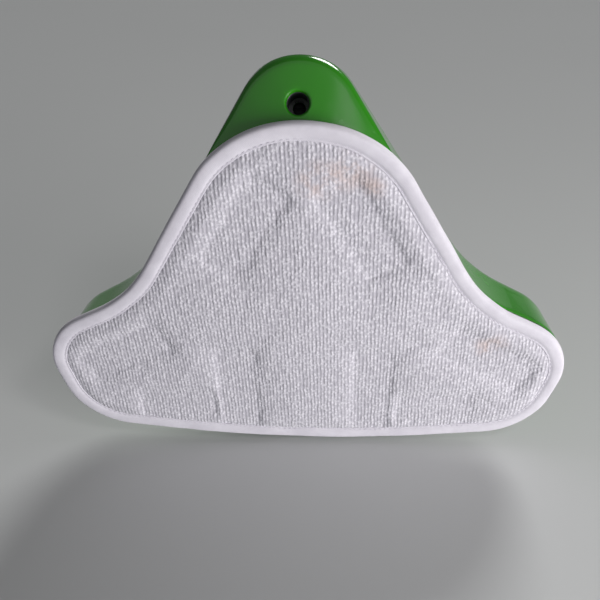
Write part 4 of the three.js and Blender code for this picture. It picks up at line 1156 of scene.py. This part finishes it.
    def well_liner(self) -> bpy.types.Object:
        """The dark sleeve inside the screw well."""
        inner, outer = self.well_radius - 0.25, self.well_radius - 0.02
        bottom = self.well_depth - 2.4
        wall = [(inner, bottom - 0.5), (inner, 2.3), (outer, 2.1), (outer, bottom)]
        profile = [(3.4, bottom - 0.3), *wall, (3.4, bottom)]
        mouth = self.into_well(0)
        turn = Vector((0, 0, 1)).rotation_difference(self.into_well(1) - mouth).to_matrix()
        angles = [math.tau * k / TURN_STEPS for k in range(TURN_STEPS)]
        rings = []
        for radius, depth in profile:
            circle = (Vector((radius * math.cos(a), radius * math.sin(a), depth)) for a in angles)
            rings.append([mouth + turn @ place for place in circle])
        mesh = loft(rings, closed=True)
        self.to_frame(mesh)
        liner = put("well_liner", mesh, "head")
        shade(liner, 40)
        return dress(liner, Finishes.dark_plastic)

    def build(self) -> None:
        """Builds the cover's pieces."""
        self.shell()
        self.well_liner()
        self.bezel_rim()


def walk(points: Sequence[Vector], distance: float) -> list[Vector]:
    """Cuts the start off a path.

    Args:
        points: The path's points.
        distance: How much of it is cut off.

    Returns:
        The rest of the path.
    """
    left = distance
    for i, (a, b) in enumerate(zip(points, points[1:])):
        step = (b - a).length
        if step >= left:
            return [a.lerp(b, left / step), *points[i + 1 :]]
        left -= step
    return [points[-1], points[-1]]


def spaced(points: Sequence[Vector], count: int) -> list[Vector]:
    """Spreads points evenly along a path.

    Args:
        points: The path's points.
        count: How many points are wanted.

    Returns:
        The new points, from the path's start to its end.
    """
    lengths = [0.0]
    for a, b in zip(points, points[1:]):
        lengths.append(lengths[-1] + (b - a).length)
    result = []
    spot = 0
    for k in range(count):
        target = lengths[-1] * k / (count - 1)
        while spot < len(points) - 2 and lengths[spot + 1] < target:
            spot += 1
        step = lengths[spot + 1] - lengths[spot]
        share = 0 if step < 1e-9 else min((target - lengths[spot]) / step, 1)
        result.append(points[spot].lerp(points[spot + 1], share))
    return result


# ---------------------------------------------------------------- pad
@dataclass
class Pad:
    """The cleaning pad: stuffed terry, its backing cloth, the edge tape and its stitches."""

    rear: float
    askew: float = math.radians(1.2)
    nose_radius: float = 68
    edge_lap: float = 1.5
    tape_width: float = 8.5
    terry_top: float = 4.4
    backing: tuple[float, float] = (4.7, 5.5)
    tape_top: float = 6.8
    panel_depth: float = 0.85
    voxel: float = 2.3
    swell_cap: float = 1.5
    swell_frames: int = 20
    swell_rise: float = 1.1
    edge_roll: float = 0.5
    edge_tuck: float = 1.0
    stitch_pitch: float = 3.4
    outline: Outline = field(init=False)

    def __post_init__(self) -> None:
        """Works out the pad's outline."""
        self.outline = PLAN.outline(self.nose_radius)

    def to_frame(self, mesh: bmesh.types.BMesh) -> None:
        """Moves a bmesh from millimetres in plan to metres, a little askew as pressed on by hand."""
        place = Matrix.Translation((0, self.rear, 0)) @ Matrix.Scale(MM, 4)
        turn = Matrix.Rotation(self.askew, 4, "Z")
        bmesh.ops.transform(mesh, matrix=turn @ place, verts=mesh.verts[:])

    def ring(self, inset: float, height: float) -> list[Vector]:
        """The pad's outline at an inset and a height."""
        return [Vector((*p, height)) for p in self.outline.points(inset)]

    def terry(self) -> bpy.types.Object:
        """The terry, swollen between the places that hold it."""
        rings = [
            self.ring(self.tape_width + 3, 0.9),
            self.ring(self.tape_width + 1, 1.1),
            self.ring(self.edge_lap + 0.3, 1.6),
            self.ring(self.edge_lap, self.terry_top),
        ]
        mesh = loft(rings)
        bmesh.ops.holes_fill(mesh, edges=[e for e in mesh.edges if e.is_boundary])
        bmesh.ops.recalc_face_normals(mesh, faces=mesh.faces[:])
        piece = put("pad_terry", mesh)
        net = piece.modifiers.new("Net", "REMESH")
        net.mode = "VOXEL"
        net.voxel_size = self.voxel
        settle(piece)
        edge_of = edge_finder(self.outline)
        self.swell(piece, edge_of)
        split = piece.modifiers.new("Finer", "SUBSURF")
        split.levels = split.render_levels = 1
        settle(piece)
        self.sew(piece, edge_of)
        mesh = bmesh.new()
        mesh.from_mesh(piece.data)
        self.to_frame(mesh)
        mesh.to_mesh(piece.data)
        mesh.free()
        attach(piece, "pad")
        shade(piece, 180)
        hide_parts("pad_body")
        return dress(piece, Finishes.terry)

    def swell(self, piece: bpy.types.Object, edge_of: Callable[[float, float], float]) -> None:
        """Lets the terry swell under pressure, pinned at its back, its strips and its edge.

        Args:
            piece: The terry in millimetres.
            edge_of: Gives a place's distance inside the pad's edge.
        """
        start = [v.co.copy() for v in piece.data.vertices]
        loose = []
        for place in start:
            edge = edge_of(place.x, place.y) - self.tape_width
            gap = min(to_strip(place.x, -place.y), edge)
            under = place.z < self.terry_top * 0.45
            loose.append(smooth_step(-1, 5, gap) if under else 0.0)
        piece.data.transform(Matrix.Scale(MM, 4))
        pins = piece.vertex_groups.new(name="held")
        for index, share in enumerate(loose):
            pins.add([index], 1.0 - share, "REPLACE")
        cloth = piece.modifiers.new("Swell", "CLOTH")
        settings = cloth.settings
        settings.quality = 5
        settings.mass = 0.25
        settings.tension_stiffness = 12
        settings.compression_stiffness = 12
        settings.shear_stiffness = 4
        settings.bending_stiffness = 0.4
        settings.use_pressure = True
        settings.uniform_pressure_force = 4
        settings.effector_weights.gravity = 0
        settings.vertex_group_mass = "held"
        cloth.collision_settings.use_collision = False
        cloth.point_cache.frame_start = 1
        cloth.point_cache.frame_end = self.swell_frames
        scene = bpy.context.scene
        for frame in range(1, self.swell_frames + 1):
            scene.frame_set(frame)
        settle(piece)
        scene.frame_set(1)
        piece.data.transform(Matrix.Scale(1 / MM, 4))
        for vert, was, share in zip(piece.data.vertices, start, loose):
            move = vert.co - was
            if move.length > self.swell_cap:
                move *= self.swell_cap / move.length
            vert.co = was + move * (1.0 if share > 0 else 0.0)

    def sew(self, piece: bpy.types.Object, edge_of: Callable[[float, float], float]) -> None:
        """Presses the strips' panels in, tucks the edge under its tape and adds creases.

        Args:
            piece: The terry in millimetres.
            edge_of: Gives a place's distance inside the pad's edge.
        """
        for vert in piece.data.vertices:
            x, y, z = vert.co
            if z > self.terry_top * 0.5:
                continue
            edge = edge_of(x, y) - self.tape_width
            strip = to_strip(x, -y)
            gap = min(strip, edge)
            roll = math.exp(-(((edge - 7.0) / 4.0) ** 2)) * self.edge_roll
            rise = self.swell_rise * (1 - math.exp(-max(gap, 0.0) / 7.0)) + roll
            wander = Vector((x * 0.021, y * 0.021, 0.0))
            billow = noise.noise(wander + Vector((3.1, 7.7, 0))) * 0.9 + noise.noise(wander * 2.9) * 0.55
            pucker = noise.noise(Vector((x * 0.3, y * 0.3, 8.0))) * math.exp(-((strip / 2.6) ** 2)) * 0.7
            nubs = noise.noise(Vector((x * 0.62, y * 0.5, 4.0))) * 0.26
            nubs += noise.noise(Vector((x * 0.22, y * 0.16, 2.0))) * 0.2
            open_share = smooth_step(0.0, 3.0, gap)
            panel = smooth_step(3.6, -2.6, strip)
            tuck = smooth_step(1.6, -0.8, edge)
            lift = panel * self.panel_depth + tuck * self.edge_tuck + pucker
            lift += sum(crease.depth_at(x, -y) for crease in CREASES)
            height = z + lift - rise - open_share * billow * 0.7 - nubs * (1 - tuck)
            vert.co.z = min(height, self.terry_top - 0.6)

    def backing_cloth(self) -> bpy.types.Object:
        """The loop cloth that the hook strips grip."""
        low, high = self.backing
        middle = (low + high) / 2
        mesh = bmesh.new()
        ring = start_ring(mesh, self.ring(self.edge_lap, middle))
        bmesh.ops.contextual_create(mesh, geom=ring)
        bmesh.ops.triangulate(mesh, faces=mesh.faces[:])
        for _ in range(3):
            bmesh.ops.subdivide_edges(mesh, edges=mesh.edges[:], cuts=1, use_grid_fill=True)
        for vert in mesh.verts:
            vert.co.z += noise.noise(vert.co * 0.05) * 0.12
        points = self.outline.points(self.edge_lap)
        bmesh.ops.recalc_face_normals(mesh, faces=mesh.faces[:])
        self.to_frame(mesh)
        piece = put("backing_cloth", mesh, "pad")
        thick = piece.modifiers.new("Cloth", "SOLIDIFY")
        thick.thickness = (high - low) * 0.8 * MM
        thick.offset = 0
        settle(piece)
        shade(piece, 60)
        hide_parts("pad_backing")
        return dress(piece, Finishes.loop_cloth)

    def tape(self) -> bpy.types.Object:
        """The folded edge tape, gently puckered by its stitches."""
        width = self.tape_width
        section = (
            (width + 1.2, 2.2),
            (width + 1.0, 1.0),
            (width + 0.6, 0.62),
            (width - 0.2, 1.15),
            (width - 1.0, 0.42),
            (width - 3.0, 0.1),
            (2.6, 0.15),
            (1.2, 0.55),
            (0.35, 1.5),
            (0.0, 3.2),
            (0.3, 5.2),
            (1.2, 6.3),
            (2.6, 6.75),
            (width - 2.4, self.tape_top),
            (width - 1.6, 6.3),
            (width - 0.8, 6.75),
            (width, 6.4),
            (width - 0.2, 5.9),
            (1.9, 5.8),
            (1.2, 4.8),
            (1.1, 2.6),
            (1.9, 1.8),
        )
        rings = []
        for index, (inset, height) in enumerate(section):
            ring = []
            for place in self.outline.points(inset):
                spot = Vector((place.x * 0.11, place.y * 0.11, index * 0.13))
                slow = Vector((place.x * 0.03, place.y * 0.03, 9.0))
                wobble = noise.noise(spot) * 0.16 + noise.noise(slow) * 0.25
                sideways = (place.normalized() if place.length > 1 else place) * noise.noise(slow * 2) * 0.3
                ring.append(Vector((place.x + sideways.x, place.y + sideways.y, height + wobble)))
            rings.append(ring)
        mesh = loft(rings, closed=True)
        self.to_frame(mesh)
        piece = put("edge_tape", mesh, "pad")
        rounding = piece.modifiers.new("Smooth", "SUBSURF")
        rounding.levels = rounding.render_levels = 1
        settle(piece)
        shade(piece, 180)
        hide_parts("pad_binding")
        return dress(piece, Finishes.binding_tape)

    def stitches(self) -> bpy.types.Object:
        """Short stitches in the tape's groove, below and above."""
        mesh = bmesh.new()
        rows = ((self.tape_width - 0.2, 0.95), (self.tape_width - 1.5, self.tape_top - 0.15))
        for inset, height in rows:
            path = [Vector((*p, height)) for p in self.outline.points(inset)]
            path.append(path[0])
            length = sum((b - a).length for a, b in zip(path, path[1:]))
            count = round(length / self.stitch_pitch)
            spots = spaced(path, count * 2 + 1)
            for k in range(count):
                a, b = spots[2 * k], spots[2 * k + 1]
                turn = (b - a).to_track_quat("Z", "Y").to_matrix().to_4x4()
                size = Matrix.Diagonal((0.26, 0.26, (b - a).length * 0.62, 1))
                place = Matrix.Translation((a + b) / 2) @ turn @ size
                bmesh.ops.create_uvsphere(mesh, u_segments=6, v_segments=5, radius=1, matrix=place)
        self.to_frame(mesh)
        piece = put("tape_stitches", mesh, "pad")
        shade(piece, 180)
        return dress(piece, Finishes.thread, "binding_tape")

    def build(self) -> None:
        """Builds the pad's pieces."""
        self.terry()
        self.backing_cloth()
        self.tape()
        self.stitches()


def edge_finder(outline: Outline) -> Callable[[float, float], float]:
    """Makes a function that measures how far a place is from an outline.

    Args:
        outline: The outline.

    Returns:
        A function of a place's x and y that gives millimetres.
    """
    points = outline.points()
    dense = []
    for a, b in zip(points, points[1:] + points[:1]):
        parts = max(1, round((b - a).length / 0.8))
        dense += [a.lerp(b, k / parts) for k in range(parts)]
    tree = KDTree(len(dense))
    for index, place in enumerate(dense):
        tree.insert((place.x, place.y, 0), index)
    tree.balance()

    def distance(x: float, y: float) -> float:
        """Distance from a place in plan to the outline."""
        return tree.find((x, y, 0))[2]

    return distance


# ---------------------------------------------------------------- under the cover
class Underbody:
    """The base plate and what is fixed to it: hook strips, screws, steam chamber and hinge cradle."""

    def build(self) -> None:
        """Refines the plate's nodes."""
        refined("base_plate", "head", Finishes.dark_plastic, 0.3)
        refined("neck_bezel", "head", Finishes.dark_plastic, 0.3)
        refined("hinge_cradle", "head", Finishes.dark_plastic, 0.5)
        refined("manifold_cover", "head", Finishes.grey_plastic, 0.4)
        refined("manifold_gasket", "head", Finishes.silicone, 0.2)
        refined("hose_clip", "head", Finishes.steel, 0.15)
        for strip in STRIPS:
            for side in ("left", "right"):
                refined(f"hook_strip_{strip.place}_{side}", "head", Finishes.hook_tape, 0.4)
        for name in ("wing_left", "wing_right", "shoulder_left", "shoulder_right", "rear"):
            refined(f"cover_screw_{name}", "head", Finishes.steel, 0.15)
        refined("nose_screw", "head", Finishes.black_steel, 0.2)
        for side in ("left", "right"):
            refined(f"manifold_screw_{side}", "head", Finishes.steel, 0.15)
            refined(f"tilt_bush_{side}", "head", Finishes.brass, 0.2)
            refined(f"tilt_pin_{side}", "head", Finishes.steel, 0.3)
            for end in ("front", "rear"):
                refined(f"cradle_screw_{end}_{side}", "head", Finishes.steel, 0.15)


class Neck:
    """The knuckle, the pole socket and the latch."""

    def build(self) -> None:
        """Refines the neck's nodes."""
        refined("knuckle", "knuckle", Finishes.dark_plastic, 0.5)
        refined("side_pin_front", "knuckle", Finishes.steel, 0.3)
        refined("side_pin_rear", "knuckle", Finishes.steel, 0.3)
        refined("steam_hose", "knuckle", Finishes.silicone, 0.2)
        refined("neck_socket", "neck", Finishes.grey_plastic, 0.5)
        refined("socket_collar", "neck", Finishes.dark_plastic, 0.4)
        refined("steam_nipple", "neck", Finishes.brass, 0.2)
        refined("nipple_o_ring", "neck", Finishes.silicone, 0.1, 60)
        refined("latch_pin", "neck", Finishes.steel, 0.2)
        refined("latch_spring", "neck", Finishes.steel, 0.1, 60)
        refined("release_latch", "latch", Finishes.green_gloss, 0.5)


# ---------------------------------------------------------------- studio
@dataclass
class Studio:
    """Camera, lights, and the pale floor and wall."""

    rear: float
    askew: float
    eye: Vector = field(default_factory=lambda: Vector((0.0151, -0.2478, -0.3155)))
    lens: float = 42

    def camera(self) -> None:
        """The camera under the pad, in front of the nose."""
        right = Vector((0.99895, 0.01335, 0.04375))
        up = Vector((-0.01695, -0.78032, 0.62516))
        back = right.cross(up)
        turn = Matrix((right, up, back)).transposed().to_4x4()
        data = bpy.data.cameras.new("camera")
        data.lens = self.lens
        data.sensor_width = 36
        data.clip_start = 0.01
        made = bpy.data.objects.new("camera", data)
        made.matrix_world = Matrix.Rotation(self.askew, 4, "Z") @ Matrix.Translation(self.eye) @ turn
        bpy.context.scene.collection.objects.link(made)
        bpy.context.scene.camera = made

    @staticmethod
    def lamp(
        name: str, place: Vector, size: tuple[float, float], power: float, colour: Colour = (1, 1, 1)
    ) -> None:
        """Adds a soft rectangular light that the camera doesn't see.

        Args:
            name: The light's name.
            place: Where it is; it points at the head's middle.
            size: Its width and height in metres.
            power: Its power in watts.
            colour: Its colour.
        """
        aim = Vector((0, 0, 0.02))
        data = bpy.data.lights.new(name, "AREA")
        data.shape = "RECTANGLE"
        data.size, data.size_y = size
        data.energy = power
        data.color = colour
        made = bpy.data.objects.new(name, data)
        turn = (aim - place).to_track_quat("-Z", "Y").to_matrix().to_4x4()
        made.matrix_world = Matrix.Translation(place) @ turn
        made.visible_camera = False
        bpy.context.scene.collection.objects.link(made)

    def lights(self) -> None:
        """Soft studio light from both sides of the floor, and a pale surround."""
        self.lamp("key_low", Vector((0.85, 0.02, -0.6)), (0.6, 0.6), 12.0, (1.0, 0.985, 0.97))
        self.lamp("fill_low", Vector((-0.1, 0.45, -0.95)), (0.9, 0.9), 2.6, (0.92, 0.95, 1.0))
        self.lamp("window", Vector((0.30, -0.53, -0.32)), (0.10, 0.14), 0.5)
        self.sun("top", Vector((0.35, -0.55, 0.85)), 1.7, 24)
        self.sun("behind", Vector((-0.7, 0.8, 0.7)), 0.55, 40)
        world = bpy.data.worlds.new("surround")
        world.use_nodes = True
        tree = Links(world.node_tree)
        lit = world.node_tree.nodes["Background"]
        tree.set(lit, Color=(0.93, 0.94, 0.97, 1), Strength=0.1)
        seen = tree.set(tree.node("ShaderNodeBackground"), Color=(0.93, 0.94, 0.95, 1), Strength=0.66)
        choice = tree.node("ShaderNodeMixShader")
        tree.join(tree.node("ShaderNodeLightPath").outputs["Is Camera Ray"], choice.inputs[0])
        tree.join(lit.outputs[0], choice.inputs[1])
        tree.join(seen.outputs[0], choice.inputs[2])
        tree.join(choice.outputs[0], world.node_tree.nodes["World Output"].inputs["Surface"])
        bpy.context.scene.world = world

    @staticmethod
    def sun(name: str, source: Vector, strength: float, softness: float) -> None:
        """Adds a broad even light.

        Args:
            name: The light's name.
            source: The direction it comes from.
            strength: Its strength.
            softness: The angle that it fills, in degrees.
        """
        data = bpy.data.lights.new(name, "SUN")
        data.energy = strength
        data.angle = math.radians(softness)
        made = bpy.data.objects.new(name, data)
        made.matrix_world = (-source).to_track_quat("-Z", "Y").to_matrix().to_4x4()
        bpy.context.scene.collection.objects.link(made)

    @staticmethod
    def one_sided(name: str, colour: Colour) -> bpy.types.Material:
        """Makes a pale surface that is clear from behind.

        Args:
            name: The material's name.
            colour: Its colour.

        Returns:
            The material.
        """
        made = Material(name, Roughness=0.9, Specular_IOR_Level=0.1)
        where = made.node("ShaderNodeTexCoord").outputs["Object"]
        cloud = made.texture("Noise", where, Scale=3.0, Detail=4.0)
        darker = tuple(c * 0.96 for c in colour)
        made.join(made.mixed(cloud.outputs["Fac"], darker, colour), made.shader.inputs["Base Color"])
        clear = made.node("ShaderNodeBsdfTransparent")
        choice = made.node("ShaderNodeMixShader")
        made.join(made.node("ShaderNodeNewGeometry").outputs["Backfacing"], choice.inputs[0])
        made.join(made.shader.outputs[0], choice.inputs[1])
        made.join(clear.outputs[0], choice.inputs[2])
        made.join(choice.outputs[0], made.tree.nodes["Material Output"].inputs["Surface"])
        return made.material

    def stage(self) -> None:
        """The floor under the pad and the wall behind its rear edge, each seen from one side only."""
        size = 12.0
        for name, place in (
            ("floor", Matrix.Translation((0, 0, -0.0012))),
            ("wall", Matrix.Translation((0, self.rear + 0.004, 0)) @ Matrix.Rotation(math.pi / 2, 4, "X")),
        ):
            mesh = bmesh.new()
            bmesh.ops.create_grid(mesh, x_segments=1, y_segments=1, size=size, matrix=place)
            plane = put(name, mesh)
            plane.data.materials.append(self.one_sided(name, (0.66, 0.67, 0.665)))
            plane.visible_shadow = False
            plane.visible_diffuse = False
            plane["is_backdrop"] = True

    def build(self) -> None:
        """Builds the studio."""
        self.camera()
        self.lights()
        self.stage()
        view = bpy.context.scene.view_settings
        view.view_transform = "Standard"


def corners(box: Iterable[Iterable[float]]) -> list[list[float]]:
    """A box's corners as plain lists."""
    return [list(map(float, corner)) for corner in box]


def main() -> None:
    """Builds the floor head's looks around the frame."""
    logging.basicConfig(level=logging.INFO, format="%(name)s: %(message)s", force=True)
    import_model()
    cad_box = corners(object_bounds())
    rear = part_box("pad_binding")[1].y
    pad = Pad(rear)
    Housing(rear).build()
    Underbody().build()
    Neck().build()
    pad.build()
    Studio(rear, pad.askew).build()
    {"cad": cad_box, "visual": corners(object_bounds())}


if __name__ == "__main__":
    main()
